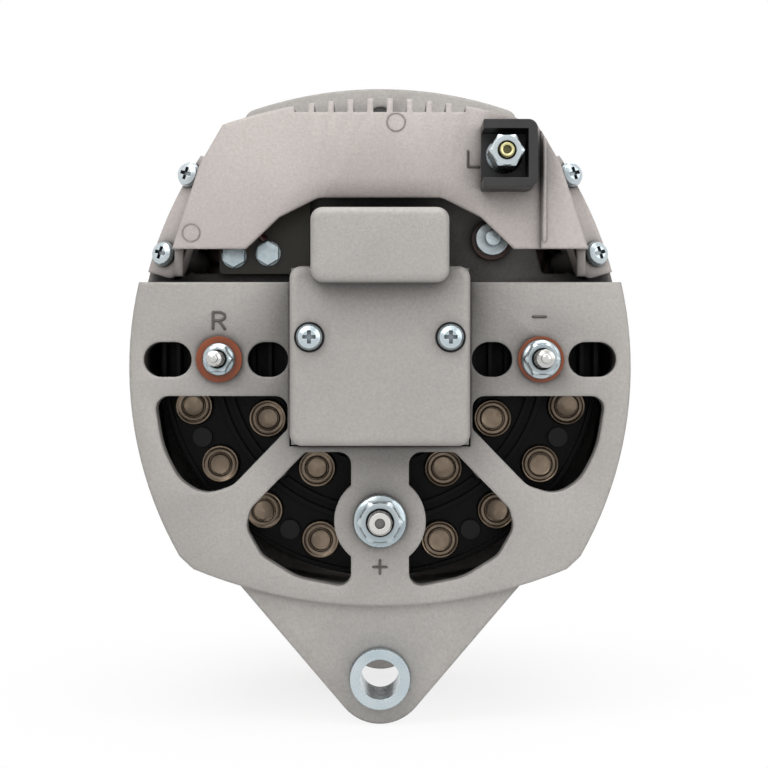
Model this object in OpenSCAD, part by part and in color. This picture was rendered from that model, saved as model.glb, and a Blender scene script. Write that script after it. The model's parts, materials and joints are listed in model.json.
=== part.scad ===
// Hinge-mounted vehicle alternator, seen from its rear (slip-ring) end.
// +Z is up, the shaft runs along Y, and the drive end with the pulley points to +Y.
// The origin is the middle of the front hinge lug's bore.

/* [Hinge mount] */
// Height of the shaft above the hinge axis
shaft_z = 105; // [100:0.5:112]
// Clear gap between the front lug and the bushing
hinge_gap = 101.6; // [98:0.2:106]
// Thickness of the front hinge lug
lug_t = 26; // [22:1:28]
// Radius of the rounded end of both lugs
lug_r = 15.2; // [14:0.1:18]
// Half width of a lug where it meets the body
lug_half_w = 45.7; // [40:0.1:50]
// Diameter of the hinge bolt hole
hinge_hole_d = 13; // [12.5:0.1:14]
// Outer diameter of the sliding bushing
bushing_d = 19.5; // [18.5:0.1:21]
// Length of the sliding bushing
bushing_len = 28; // [26:0.5:32]
// How far the bushing stands out of the rear plate
bushing_proud = 3.6; // [3:0.1:5]
// Depth of the rear lug's face below the rear plate
rear_lug_step = 2; // [1:0.1:3]

/* [Body outline] */
// Half width of the body
body_half_w = 81.5; // [80:0.1:84]
// Half height of the body
body_half_h = 81.6; // [80.5:0.1:84]
// Radius of the side arcs
side_r = 123.5; // [115:0.5:135]
// Drop of the side arcs' centres below the shaft
side_drop = 4; // [0:0.5:6]
// Radius of the top and bottom arcs
top_r = 159; // [150:1:175]
// Radius that rounds the four corners, from the shaft
corner_r = 92.3; // [91.5:0.1:94]
// Wall thickness of both housings
wall = 4.5; // [3.5:0.1:5.5]

/* [Rear housing] */
// Thickness of the rear plate
plate_t = 8; // [6:0.5:9]
// Height of the rear plate's top edge above the shaft
plate_top = 23.7; // [22.5:0.1:25]
// Thickness of the shelf under the hood
shelf_t = 4; // [3:0.5:5]
// Depth of the upper floor behind the rear plate's face
floor_depth = 22; // [20:0.5:24]
// Thickness of the upper floor
floor_t = 5; // [4:0.5:6]
// Thickness of the web that carries the bearing hub
web_t = 9; // [8:0.5:10]
// Half width of the web
web_half_w = 38; // [35:0.5:42]
// Wall of the rear bearing hub
rear_hub_wall = 6; // [4:0.5:8]
// Half height of a vent slot
slot_half_h = 5.7; // [5:0.1:6.5]
// Height of the vent slots' and side studs' centre line above the shaft
slot_z = -1.4; // [-2:0.1:0]
// Radius of the boss round the plus stud
plus_boss_r = 14.9; // [14:0.1:16]
// Rounding of the window corners
window_round = 4; // [3:0.1:4.6]

/* [Centre cover] */
// Half width of the centre cover
cover_half_w = 28.9; // [28:0.1:29.4]
// Height of the cover's top edge above the shaft
cover_top = 28.3; // [27.5:0.1:29.5]
// Height of the cover's bottom edge below the shaft
cover_bottom = 29.2; // [28.5:0.1:29.6]
// How far the cover stands out of the rear plate
cover_proud = 13; // [12:0.5:16]
// Half width of the raised pad
pad_half_w = 21.9; // [20.5:0.1:23.5]
// Height of the pad's top edge above the shaft
pad_top = 46.4; // [45.5:0.1:47.5]
// Height of the pad's bottom edge above the shaft
pad_bottom = 22.7; // [20:0.1:24]
// How far the pad stands out of the cover
pad_proud = 9; // [8:0.5:12]
// Wall thickness of the cover
cover_wall = 2.4; // [2:0.1:2.8]
// Corner radius of the cover and the pad
cover_round = 3.9; // [3:0.1:5]
// Distance of a cover screw from the middle
cover_screw_x = 22.5; // [21.9:0.1:23.2]
// Height of the cover screws above the shaft
cover_screw_z = 5.5; // [4:0.5:8]

/* [Hood] */
// Wall thickness of the hood
hood_wall = 2.5; // [2:0.1:3]
// Height of the hood plate's bottom edge above the shaft
hood_bottom = 34.6; // [33:0.1:36]
// Half width of the hood plate at its bottom edge
hood_half_w = 67.6; // [66:0.1:69]
// Half width of the hood plate at its upper corners
hood_top_half_w = 50.6; // [48:0.1:52]
// Height of the hood's upper corners above the shaft
hood_corner_z = 75.8; // [73:0.1:77]
// Half width of the hood plate where its sides bend
hood_bend_half_w = 58.6; // [57:0.1:60]
// Height above the shaft where the hood's sides bend
hood_bend_z = 62; // [58:0.5:66]
// Height of the hood's roof at the middle
hood_peak = 83.5; // [82.8:0.1:85]
// Radius of the hood's roof
hood_roof_r = 156; // [150:1:165]
// Height of the flat part between the roof fins
hood_flat = 79; // [78.2:0.1:80]
// Number of roof fins
fin_count = 10; // [6:1:11]
// Distance between two roof fins
fin_pitch = 6.4; // [5.8:0.1:6.5]
// Thickness of a roof fin
fin_t = 2; // [1.4:0.1:2.6]
// Half width of the hood's cut-out at its top
cutout_top_half_w = 20; // [18:0.5:22]
// Half width of the hood's cut-out at its bottom
cutout_half_w = 43.6; // [42:0.1:46]
// Height of the cut-out's top edge above the shaft
cutout_top = 51.2; // [50.5:0.1:53]
// Tilt of the side wings away from the rear
wing_tilt = 30; // [20:1:34]
// Lean of the wings along the body's side
wing_lean = 17.9; // [16:0.1:20]
// Distance of a wing's middle from the body's middle
wing_x = 67.2; // [66.5:0.1:68]
// Height of a wing's middle above the shaft
wing_z = 46.8; // [45:0.1:49]
// Depth of a wing's middle behind the hood's face
wing_depth = 14; // [13:0.5:15]
// Length of a wing
wing_len = 42; // [38:1:44]
// Thickness of a wing
wing_t = 3.5; // [3:0.1:4]
// Distance between the two screws in a wing
wing_screw_pitch = 27.6; // [25:0.1:28.5]

/* [Terminals] */
// Distance of the R and minus studs from the middle
stud_x = 52.2; // [51.5:0.1:53]
// Distance of the plus stud below the shaft
plus_z = 53.9; // [53:0.1:55]
// Diameter of the plus stud
plus_d = 8; // [7:0.5:9]
// Diameter of the minus stud
minus_d = 6; // [5:0.5:7]
// Diameter of the R stud
relay_d = 5; // [4:0.5:6]
// Diameter of the L stud
lamp_d = 5; // [4:0.5:5.5]
// Diameter of the red-brown insulating washers
insulator_d = 15; // [14.5:0.1:16]
// How far the R and minus studs stand out of the rear plate
stud_proud = 24; // [22:0.5:26]
// How far the plus stud stands out of the rear plate
plus_proud = 14; // [13:0.5:18]
// Width of the L terminal block
block_w = 17.2; // [16.5:0.1:18]
// Height of the L terminal block
block_h = 21.4; // [20.5:0.1:23]
// Depth of the L terminal block
block_depth = 17; // [15:0.5:19]
// Distance of the L terminal block's middle from the body's middle
block_x = 41.4; // [40.5:0.1:42.5]
// Height of the L terminal block's middle above the shaft
block_z = 63.8; // [62.5:0.1:64.5]

/* [Heat sinks and diodes] */
// Depth of the heat sinks' rear face behind the rear plate's face
sink_depth = 27; // [26:0.5:28]
// Thickness of a heat sink
sink_t = 6; // [5:0.5:7]
// Inner radius of the heat sinks
sink_in_r = 36; // [34:0.5:37]
// Outer radius of the heat sinks
sink_out_r = 74; // [73:0.1:75]
// Radius of the outer row of diodes
outer_row_r = 65; // [64:0.1:66]
// Radius of the inner row of diodes
inner_row_r = 43.3; // [42.8:0.1:44]
// Diameter of a diode's body
diode_d = 12.8; // [12:0.1:13.2]
// How far a diode stands out of its heat sink
diode_proud = 4; // [3:0.5:5]

/* [Stator] */
// Outer radius of the stator core
stator_out_r = 77.5; // [77:0.1:79]
// Inner radius of the stator core
stator_in_r = 57.2; // [57:0.1:58]
// Length of the stator core
stator_len = 40; // [36:1:44]
// Number of stator slots
slot_count = 36; // [24:6:48]
// Width of a stator slot
stator_slot_w = 4.2; // [3.5:0.1:4.4]
// Depth of a stator slot
stator_slot_d = 13; // [11:0.5:14]
// Length of the windings' end turns
end_turn_len = 11; // [9:0.5:12]

/* [Rotor] */
// Outer radius of the claw poles
rotor_r = 56.5; // [56:0.1:56.7]
// Thickness of a claw pole's disc
claw_disc_t = 11; // [9:0.5:12]
// Length of the rotor over both claw poles
rotor_len = 52; // [48:1:54]
// Number of claws on each pole piece
claw_count = 6; // [4:1:7]
// Outer radius of the field winding
field_r = 44; // [40:0.5:45.5]
// Outer radius of the rotor's iron core
core_r = 27; // [24:0.5:30]
// Radius of the slip rings
slip_ring_r = 14; // [13:0.1:14.6]
// Width of a slip ring
slip_ring_w = 5.6; // [5.2:0.1:6.4]
// Distance between the two slip rings
slip_ring_pitch = 8; // [7.6:0.1:8.2]

/* [Bearings] */
// Bore radius of the front bearing
front_bore_r = 12.5; // [12:0.1:13]
// Outer radius of the front bearing
front_out_r = 31; // [30.5:0.1:31.5]
// Width of the front bearing
front_w = 17; // [16:0.5:18]
// Radius of the front bearing's balls
front_ball_r = 5.2; // [4.8:0.1:5.4]
// Bore radius of the rear bearing
rear_bore_r = 8.5; // [8:0.1:8.8]
// Outer radius of the rear bearing
rear_out_r = 20; // [19.5:0.1:20.5]
// Width of the rear bearing
rear_w = 12; // [11.5:0.5:12.5]
// Radius of the rear bearing's balls
rear_ball_r = 3.3; // [3:0.1:3.4]
// Number of balls in each bearing
ball_count = 8; // [7:1:9]

/* [Brushes] */
// Length of a brush
brush_len = 16; // [14:0.5:18]
// Width of a brush across the ring
brush_w = 7; // [6:0.5:8]
// Thickness of a brush along the shaft
brush_t = 4.6; // [4:0.1:5]
// Diameter of the brush springs' wire
spring_wire = 0.6; // [0.5:0.05:0.7]

/* [Drive housing] */
// Distance of the drive end's face ahead of the front lug's middle
drive_face = 12; // [11:0.5:14]
// Depth of the drive housing
drive_depth = 58; // [55:1:60]
// Thickness of the drive housing's front wall
front_wall_t = 8; // [6:0.5:9]
// Outer radius of the drive housing's drum
drum_r = 79; // [78.5:0.1:80]
// Number of air windows in the front wall
air_windows = 8; // [6:1:10]
// Half width of the adjusting lug
adjust_half_w = 52; // [48:0.5:55]
// Height of the adjusting lug's peak above the shaft
adjust_peak = 103.4; // [101:0.1:105]
// Radius of the adjusting lug's top
adjust_arc_r = 151; // [140:1:160]
// Thickness of the adjusting lug
adjust_t = 16; // [14:0.5:18]
// Minor diameter of the adjusting hole's thread
adjust_hole_d = 10.8; // [10:0.1:12]

/* [Fan and pulley] */
// Outer radius of the fan
fan_r = 72; // [68:0.5:75]
// Number of fan blades
blade_count = 12; // [8:1:16]
// Height of the fan blades
blade_h = 15; // [12:0.5:16]
// Thickness of the fan's disc
fan_t = 3; // [2:0.5:4]
// Radius of the shaft in the pulley
nose_r = 11; // [10.5:0.1:11.5]
// Outer radius of the pulley
pulley_r = 37.5; // [36:0.5:42]
// Number of belt grooves
groove_count = 8; // [4:1:8]
// Distance between two belt grooves
groove_pitch = 3.56; // [3.4:0.02:3.6]
// Depth of a belt groove
groove_depth = 3; // [2.4:0.1:3.4]
// Width across flats of the pulley nut
pulley_nut_af = 30; // [28:0.5:32]

/* [Fits] */
// Running clearance on the radius
run_gap = 0.05; // [0.03:0.01:0.08]
// Loose clearance on the radius of bolt holes
bolt_gap = 0.3; // [0.2:0.05:0.4]
// Small air gap between pieces that don't touch
air_gap = 0.4; // [0.3:0.05:0.5]

/* [Hidden] */
$fn = 96;

// Places along the shaft, from the rear to the drive end
rear_face = -(lug_t / 2 + hinge_gap + bushing_len - bushing_proud);
plate_front = rear_face + plate_t;
web_front = plate_front + web_t;
floor_rear = rear_face + floor_depth;
floor_front = floor_rear + floor_t;
sink_rear = rear_face + sink_depth;
sink_front = sink_rear + sink_t;
cover_face = rear_face - cover_proud;
pad_face = cover_face - pad_proud;
flange_front = drive_face - drive_depth;
flange_rear = flange_front - stator_len;
flange_t = 5;
ear_t = 12;
bushing_rear = rear_face - bushing_proud;
bushing_front = bushing_rear + bushing_len;
rear_lug_front = bushing_front - 1.5;
rear_bearing_y0 = plate_front + 4;
rear_bearing_y1 = rear_bearing_y0 + rear_w;
front_bearing_y1 = drive_face - front_wall_t - 1;
front_bearing_y0 = front_bearing_y1 - front_w;
retainer_t = 3;
rotor_mid = (flange_rear + flange_front) / 2;
rotor_y0 = rotor_mid - rotor_len / 2;
rotor_y1 = rotor_mid + rotor_len / 2;
ring_mid = rear_face - 1;
ring_y = [ring_mid - slip_ring_pitch / 2, ring_mid + slip_ring_pitch / 2];
shaft_rear = cover_face + 4;
fan_y0 = drive_face + 5;
fan_disc_y0 = fan_y0 + blade_h;
fan_disc_y1 = fan_disc_y0 + fan_t;
rim_flange = 3;
pulley_len = groove_count * groove_pitch + 2 * rim_flange + 4;
pulley_y1 = fan_disc_y1 + pulley_len;
pulley_seat = pulley_y1 - 8;
pulley_washer_t = 2.5;
pulley_nut_h = 13;
pulley_nut_y0 = pulley_seat + pulley_washer_t;
shaft_front = pulley_nut_y0 + pulley_nut_h + 3;

// Outline values
side_off = side_r - body_half_w;
top_off = top_r - body_half_h;
far = 300;
bolt_pcr = corner_r - 8.3;
bolt_r = 3;
bolt_head_af = 10;
bolt_head_h = 6;
seat_r = stator_out_r - 3;
hood_face = rear_face;
roof_z = hood_peak - hood_roof_r;
cover_gap = 0.5;
window_side = cover_half_w + cover_gap + 0.6;
lamp_z = block_z + 0.8;
lamp_x = block_x - 1.2;
block_wall = 2.9;
block_face = hood_face - block_depth;
screw_head_r = 4.2;
screw_head_h = 3;
screw_r = 2;
slot_r = slot_half_h - 0.01;
diode_r = diode_d / 2;
diode_t = 10;
outer_angles = [195, 214, 233, 252];
inner_angles = [209, 240.5];
phase_angles = [204.5, 242.5];
phase_r = 66;
sink_insulator_t = 1.5;
sink_post_r = 4.4;
sink_screw_at = [[35.1, -36.8], [stud_x, 10]];
sink_screw_head = 2.5;
carrier_nut_at = [[-48.8, 33.5], [-37.4, 34.2]];
carrier_t = 3;
field_stud_at = [37.4, 39];
field_stud_r = 2.5;
brush_gap = 0.1;
brush_z0 = slip_ring_r + brush_gap;
brush_top = brush_z0 + brush_len;
holder_z0 = slip_ring_r + 2;
holder_wall = 2;
holder_top = pad_top - cover_wall;
pocket_top = holder_top - holder_wall;
spring_turns = 7;
plus_wall = 1.5;

// Points of a polygon whose corners are rounded by the given radii
function unit(v) = v / norm(v);
function corner_arc(a, b, c, r, n) =
  let (u = unit(a - b), w = unit(c - b), half = acos(u * w) / 2, mid = b + unit(u + w) * (r / sin(half)),
    p0 = b + u * (r / tan(half)), p1 = b + w * (r / tan(half)),
    s0 = atan2(p0[1] - mid[1], p0[0] - mid[0]), s1 = atan2(p1[1] - mid[1], p1[0] - mid[0]),
    turn = s1 - s0, sweep = turn > 180 ? turn - 360 : turn < -180 ? turn + 360 : turn)
  [for (i = [0:n]) mid + r * [cos(s0 + sweep * i / n), sin(s0 + sweep * i / n)]];
function rounded(pts, rads, n = 6) = let (k = len(pts))
  [for (i = [0:k - 1]) each corner_arc(pts[(i + k - 1) % k], pts[i], pts[(i + 1) % k], rads[i], n)];
function box_points(x0, x1, z0, z1) = [[x0, z0], [x1, z0], [x1, z1], [x0, z1]];
function tangent(p, c, r, s) = let (v = p - c, a = atan2(v[1], v[0]), b = acos(r / norm(v)))
  c + r * [cos(a + s * b), sin(a + s * b)];
function bottom_rim(x) = top_off - sqrt(top_r * top_r - x * x);
function polar(r, a) = r * [cos(a), sin(a)];

// A flat shape drawn as seen from the rear, with the shaft at its origin, as a slab from y0 to y1
module slab(y0, y1) {
  translate([0, y1, shaft_z]) rotate([90, 0, 0]) linear_extrude(y1 - y0) children();
}
// A profile in radius and y, turned about the shaft
module turned() {
  translate([0, 0, shaft_z]) rotate([-90, 0, 0]) rotate_extrude() children();
}
module ring(r0, r1, y0, y1) {
  turned() translate([r0, y0]) square([r1 - r0, y1 - y0]);
}
// A rod along Y through a point that is drawn as seen from the rear
module rod(r, y0, y1, at = [0, 0]) {
  slab(y0, y1) translate(at) circle(r);
}
module hex_rod(af, y0, y1, at = [0, 0]) {
  slab(y0, y1) translate(at) rotate(30) circle(af / 2 / cos(30), $fn = 6);
}
module rounded_box(x0, x1, z0, z1, r) {
  polygon(rounded(box_points(x0, x1, z0, z1), [r, r, r, r]));
}
module both_sides() {
  children();
  mirror([1, 0, 0]) children();
}
module four_corners() {
  for (a = [45:90:315]) translate(polar(bolt_pcr, a)) children();
}

// Outlines
module body_2d(inset = 0) {
  intersection() {
    translate([-side_off, -side_drop]) circle(side_r - inset);
    translate([side_off, -side_drop]) circle(side_r - inset);
    translate([0, top_off]) circle(top_r - inset);
    translate([0, -top_off]) circle(top_r - inset);
    circle(corner_r - inset);
  }
}
module below_2d(z) {
  translate([-far, z - far]) square([2 * far, far]);
}
module above_2d(z) {
  translate([-far, z]) square([2 * far, far]);
}
// Lower end of a hinge lug, from the body's rim down to the rounded end
module lug_2d(rim_z) {
  rim = [lug_half_w, rim_z];
  hinge = [0, -shaft_z];
  left = tangent([-rim[0], rim[1]], hinge, lug_r, 1);
  right = tangent(rim, hinge, lug_r, -1);
  translate(hinge) circle(lug_r);
  polygon([[-rim[0], rim[1]], left, hinge, right, rim, [rim[0] - wall, rim[1] + wall],
    [wall - rim[0], rim[1] + wall]]);
}
// Upper and lower window on the left side
module windows_2d() {
  top = slot_z - slot_half_h - 6.2;
  polygon(rounded([[-73.6, top], [-window_side, top], [-window_side, -24], [-48, -42.6],
    [-57.5, -45.6], [-65.5, -40.5], [-71, -30]], [window_round, window_round, 2, 10, 10, 14, 30]));
  difference() {
    polygon(rounded([[-24.3, -31.5], [-9.4, -31.5], [-9.4, -75.9], [-27, -72.6], [-38.6, -65.4],
      [-43.8, -56.2], [-42.2, -49.9]], [3, window_round, window_round, 20, 8, 7, 5]));
    translate([0, -plus_z]) circle(plus_boss_r);
  }
}
module slot_2d(x0, x1) {
  translate([x0 + slot_half_h, slot_z]) circle(slot_half_h);
  translate([x1 - slot_half_h, slot_z]) circle(slot_half_h);
  translate([x0 + slot_half_h, slot_z - slot_r]) square([x1 - x0 - 2 * slot_half_h, 2 * slot_r]);
}
module plate_openings_2d() {
  both_sides() {
    windows_2d();
    slot_2d(stud_x + 9, stud_x + 24.6);
    slot_2d(stud_x - 22.4, stud_x - 9.2);
  }
}
module cover_hole_2d() {
  x = cover_half_w + cover_gap;
  translate([-x, -cover_bottom - cover_gap]) square([2 * x, far]);
}
// Openings in the upper floor, left and right
module floor_openings_2d() {
  both_sides()
    polygon(rounded([[-64, plate_top + 4], [-54.5, plate_top + 4], [-45, 62], [-52, 62]],
      [1.5, 1.5, 1.5, 1.5]));
}

// Rear housing
module rear_housing() {
  color([0.69, 0.67, 0.65]) difference() {
    union() {
      slab(rear_face, plate_front) difference() {
        intersection() {
          body_2d();
          below_2d(plate_top);
        }
        plate_openings_2d();
        cover_hole_2d();
      }
      slab(plate_front, floor_rear) {
        intersection() {
          difference() {
            body_2d();
            body_2d(wall);
          }
          below_2d(plate_top);
        }
        intersection() {
          body_2d();
          below_2d(plate_top);
          difference() {
            above_2d(plate_top - shelf_t);
            translate([-pad_half_w - air_gap, 0]) square([2 * (pad_half_w + air_gap), far]);
          }
        }
      }
      slab(floor_rear, floor_front) {
        difference() {
          intersection() {
            body_2d();
            above_2d(plate_top - shelf_t);
          }
          floor_openings_2d();
        }
        difference() {
          body_2d();
          body_2d(wall);
        }
      }
      slab(floor_front, flange_rear) difference() {
        body_2d();
        body_2d(wall);
      }
      slab(flange_rear - flange_t, flange_rear) difference() {
        body_2d();
        circle(seat_r);
      }
      slab(flange_rear - 20, flange_rear) intersection() {
        body_2d();
        four_corners() circle(bolt_r + 5);
      }
      rear_web();
      rear_lug();
      both_sides() {
        for (at = sink_screw_at) rod(sink_post_r, plate_front, sink_rear - sink_insulator_t, at);
        wing_bosses();
      }
    }
    rod(bushing_d / 2 + run_gap / 2, rear_face - 1, bushing_front + 1, [0, -shaft_z]);
    ring(0, rear_out_r, rear_bearing_y0, rear_bearing_y1 + 1);
    ring(0, rear_bore_r + 3, rear_face, rear_bearing_y1);
    for (x = [-stud_x, stud_x]) rod(insulator_d / 2 - 2.5, rear_face - 1, web_front + 1, [x, slot_z]);
    rod(plus_d / 2 + plus_wall, rear_face - 1, plate_front + 1, [0, -plus_z]);
    both_sides() {
      rod(screw_r, rear_face, web_front + 1, [cover_screw_x, cover_screw_z]);
      for (at = sink_screw_at) rod(screw_r, sink_rear - 12, sink_rear, at);
      wing_frame() {
        translate([-12, -far, -wing_len / 2 - air_gap]) cube([20, far + wing_t, wing_len + 2 * air_gap]);
        for (z = [-1, 1]) translate([0, wing_t - 1, z * wing_screw_pitch / 2])
          rotate([-90, 0, 0]) cylinder(h = 11, r = screw_r);
      }
    }
    for (at = carrier_nut_at) rod(screw_r, floor_rear - 1, floor_front + 1, at);
    rod(field_stud_r + 1.5, floor_rear - 1, floor_front + 1, field_stud_at);
    slab(flange_rear - 16, flange_rear + 1) four_corners() circle(bolt_r);
  }
}
// Web behind the centre cover, with the rear bearing's hub
module rear_web() {
  slab(plate_front, web_front) difference() {
    intersection() {
      translate([-web_half_w, -cover_bottom - 9]) square([2 * web_half_w, plate_top + cover_bottom + 9]);
      body_2d();
    }
    plate_openings_2d();
    translate([-pad_half_w - air_gap, pad_bottom - 1]) square([2 * (pad_half_w + air_gap), far]);
  }
  ring(rear_out_r - 1, rear_out_r + rear_hub_wall, plate_front, rear_bearing_y1);
}
module rear_lug() {
  slab(rear_face + rear_lug_step, rear_lug_front) difference() {
    lug_2d(bottom_rim(lug_half_w));
    body_2d(wall);
  }
}
// Local frame of the right wing: its plate faces -Y before it is tilted
module wing_frame() {
  translate([wing_x, hood_face + wing_depth, shaft_z + wing_z])
    rotate([0, -wing_lean, 0]) rotate([0, 0, wing_tilt]) children();
}
module wing_bosses() {
  intersection() {
    wing_frame() for (z = [-1, 1]) translate([0, wing_t, z * wing_screw_pitch / 2])
      rotate([-90, 0, 0]) cylinder(h = 16, r = 5);
    slab(plate_front - 1, flange_rear - 1) body_2d(1);
  }
}

module hinge_bushing() {
  color([0.72, 0.77, 0.79]) slab(bushing_rear, bushing_front) translate([0, -shaft_z]) difference() {
    circle(bushing_d / 2 - run_gap / 2);
    circle(hinge_hole_d / 2);
  }
}

// Drive housing
adjust_rear = flange_front + 20;
hub_wall = 8;
lip_r = 19;
function arc_top(w, r, peak, fillet, low, n = 24) =
  let (mid = [0, peak - r], fc = [w - fillet, mid[1] + sqrt(pow(r - fillet, 2) - pow(w - fillet, 2))],
    turn = atan2(fc[1] - mid[1], fc[0]))
  concat([[w, low]], [for (i = [0:6]) fc + polar(fillet, turn * i / 6)],
    [for (i = [1:n - 1]) mid + polar(r, turn + (180 - 2 * turn) * i / n)],
    [for (i = [0:6]) [-fc[0], fc[1]] + polar(fillet, 180 - turn + turn * i / 6)], [[-w, low]]);
module drive_housing() {
  color([0.7, 0.68, 0.66]) difference() {
    union() {
      slab(flange_front, flange_front + ear_t) difference() {
        body_2d();
        circle(seat_r);
      }
      ring(seat_r, drum_r, flange_front, drive_face);
      slab(drive_face - front_wall_t, drive_face) difference() {
        circle(seat_r + 1);
        circle(lip_r);
        air_windows_2d();
      }
      ring(front_out_r, front_out_r + hub_wall, front_bearing_y0, drive_face - 1);
      ring(lip_r, front_out_r + 1, front_bearing_y1, drive_face - 1);
      for (a = [0:360 / air_windows:359]) slab(front_bearing_y0 + 4, drive_face - 1)
        rotate(a + 180 / air_windows) translate([front_out_r + hub_wall - 1, -2.5])
          square([seat_r + 1.5 - front_out_r - hub_wall, 5]);
      slab(-lug_t / 2, lug_t / 2) difference() {
        lug_2d(-sqrt(drum_r * drum_r - lug_half_w * lug_half_w));
        circle(seat_r);
      }
      slab(adjust_rear, adjust_rear + adjust_t) difference() {
        polygon(arc_top(adjust_half_w, adjust_arc_r, adjust_peak, 5, 40));
        circle(seat_r);
      }
    }
    rod(hinge_hole_d / 2, -lug_t / 2 - 1, lug_t / 2 + 1, [0, -shaft_z]);
    rod(adjust_hole_d / 2, adjust_rear - 1, adjust_rear + adjust_t + 1, adjust_at);
    slab(flange_front - 1, flange_front + ear_t + 1) four_corners() circle(bolt_r + bolt_gap);
    slab(flange_front + ear_t, flange_front + ear_t + bolt_head_h + 1) four_corners()
      circle(bolt_head_af / 2 / cos(30) + bolt_gap);
    for (a = [45:90:315]) rod(screw_r, front_bearing_y0 - 1, front_bearing_y0 + 10,
      polar(front_out_r + hub_wall / 2, a));
  }
}
adjust_at = [0, (adjust_peak + drum_r) / 2];
module air_windows_2d() {
  for (a = [0:360 / air_windows:359]) intersection() {
    difference() {
      circle(seat_r - 5);
      circle(front_out_r + hub_wall + 3);
    }
    polygon([[0, 0], polar(far, a - 140 / air_windows), polar(far, a + 140 / air_windows)]);
  }
}
module through_bolts() {
  color([0.62, 0.64, 0.66]) for (a = [45:90:315]) {
    at = polar(bolt_pcr, a);
    rod(bolt_r, flange_rear - 15, flange_front + ear_t, at);
    hex_rod(bolt_head_af, flange_front + ear_t, flange_front + ear_t + bolt_head_h, at);
  }
}

// Stator
module stator_core() {
  color([0.32, 0.33, 0.35]) slab(flange_rear, flange_front) difference() {
    circle(stator_out_r);
    circle(stator_in_r);
    for (i = [0:slot_count - 1]) rotate(i * 360 / slot_count)
      translate([stator_in_r - 1, -stator_slot_w / 2]) square([stator_slot_d + 1, stator_slot_w]);
  }
}
module stator_windings() {
  liner = 0.3;
  inner = stator_in_r + 1.5;
  color([0.62, 0.33, 0.16]) {
    ring(inner, seat_r - 1.5, flange_rear - end_turn_len, flange_rear);
    slab(flange_rear, flange_front) for (i = [0:slot_count - 1]) rotate(i * 360 / slot_count)
      translate([inner, liner - stator_slot_w / 2])
        square([stator_slot_d - 1.5 - liner, stator_slot_w - 2 * liner]);
    ring(inner, seat_r - 1.5, flange_front, flange_front + end_turn_len);
  }
}

// Centre cover
screw_column_r = screw_r + 2.5;
pad_low = rear_out_r + rear_hub_wall + air_gap;
module rear_cover() {
  w = cover_half_w;
  p = pad_half_w;
  t = cover_wall;
  inner_round = cover_round - t;
  color([0.7, 0.7, 0.69]) difference() {
    union() {
      difference() {
        union() {
          slab(cover_face, plate_front) rounded_box(-w, w, -cover_bottom, cover_top, cover_round);
          slab(pad_face, plate_front) rounded_box(-p, p, pad_bottom, pad_top, cover_round);
          slab(plate_front - 1, floor_rear) intersection() {
            rounded_box(-p, p, pad_bottom, pad_top, cover_round);
            above_2d(pad_low);
          }
        }
        slab(cover_face + t, plate_front + 1)
          rounded_box(t - w, w - t, t - cover_bottom, cover_top - t, inner_round);
        slab(pad_face + t, floor_rear + 1)
          rounded_box(t - p, p - t, pad_bottom + t, pad_top - t, inner_round);
      }
      for (x = [-1, 1])
        rod(screw_column_r, cover_face, plate_front, [x * cover_screw_x, cover_screw_z]);
    }
    for (x = [-1, 1])
      rod(screw_r + bolt_gap, cover_face - 1, plate_front + 1, [x * cover_screw_x, cover_screw_z]);
  }
}
// Pan-head screw with a cross recess, its head below z = 0 and its tip at +Z
module pan_screw(len) {
  difference() {
    rotate_extrude() polygon([[0, -screw_head_h], [screw_head_r * 0.5, -screw_head_h],
      [screw_head_r * 0.85, -screw_head_h * 0.75], [screw_head_r, -screw_head_h * 0.35],
      [screw_head_r, 0], [screw_r, 0], [screw_r, len], [0, len]]);
    for (a = [0, 90]) rotate(a) translate([-screw_head_r / 2, -0.6, -screw_head_h - 1])
      cube([screw_head_r, 1.2, 2.4]);
  }
}
module cover_screws() {
  color([0.72, 0.78, 0.82]) for (x = [-1, 1])
    translate([x * cover_screw_x, cover_face, shaft_z + cover_screw_z]) rotate([-90, 0, 0])
      pan_screw(web_front - cover_face);
}

// Hood
fin_zone = (fin_count - 1) * fin_pitch / 2 + fin_t / 2;
leg_z = plate_top + 2.3;
module hood_outline_2d(t) {
  k = t * 1.08;
  intersection() {
    polygon([[-hood_half_w + k, 0], [-hood_half_w + k, hood_bottom], [-hood_bend_half_w + k, hood_bend_z],
      [-hood_top_half_w + k, hood_corner_z], [-hood_top_half_w + k, far],
      [hood_top_half_w - k, far], [hood_top_half_w - k, hood_corner_z],
      [hood_bend_half_w - k, hood_bend_z], [hood_half_w - k, hood_bottom], [hood_half_w - k, 0]]);
    translate([0, roof_z]) circle(hood_roof_r - t);
  }
}
module fin_notch_2d() {
  translate([-fin_zone, hood_flat]) square([2 * fin_zone, far]);
}
module hood_plate_2d() {
  mid_x = (cutout_half_w + cutout_top_half_w) / 2 + 1;
  mid_z = (hood_bottom + cutout_top) / 2 + 2;
  difference() {
    hood_outline_2d(0);
    below_2d(hood_bottom);
    fin_notch_2d();
    polygon([[-cutout_half_w, hood_bottom - 1], [-cutout_half_w, hood_bottom], [-mid_x, mid_z],
      each rounded_corner([-mid_x, mid_z], [-cutout_top_half_w, cutout_top], [0, cutout_top], 6),
      each rounded_corner([0, cutout_top], [cutout_top_half_w, cutout_top], [mid_x, mid_z], 6),
      [mid_x, mid_z], [cutout_half_w, hood_bottom], [cutout_half_w, hood_bottom - 1]]);
  }
}
function rounded_corner(a, b, c, r) = corner_arc(a, b, c, r, 6);
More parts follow.
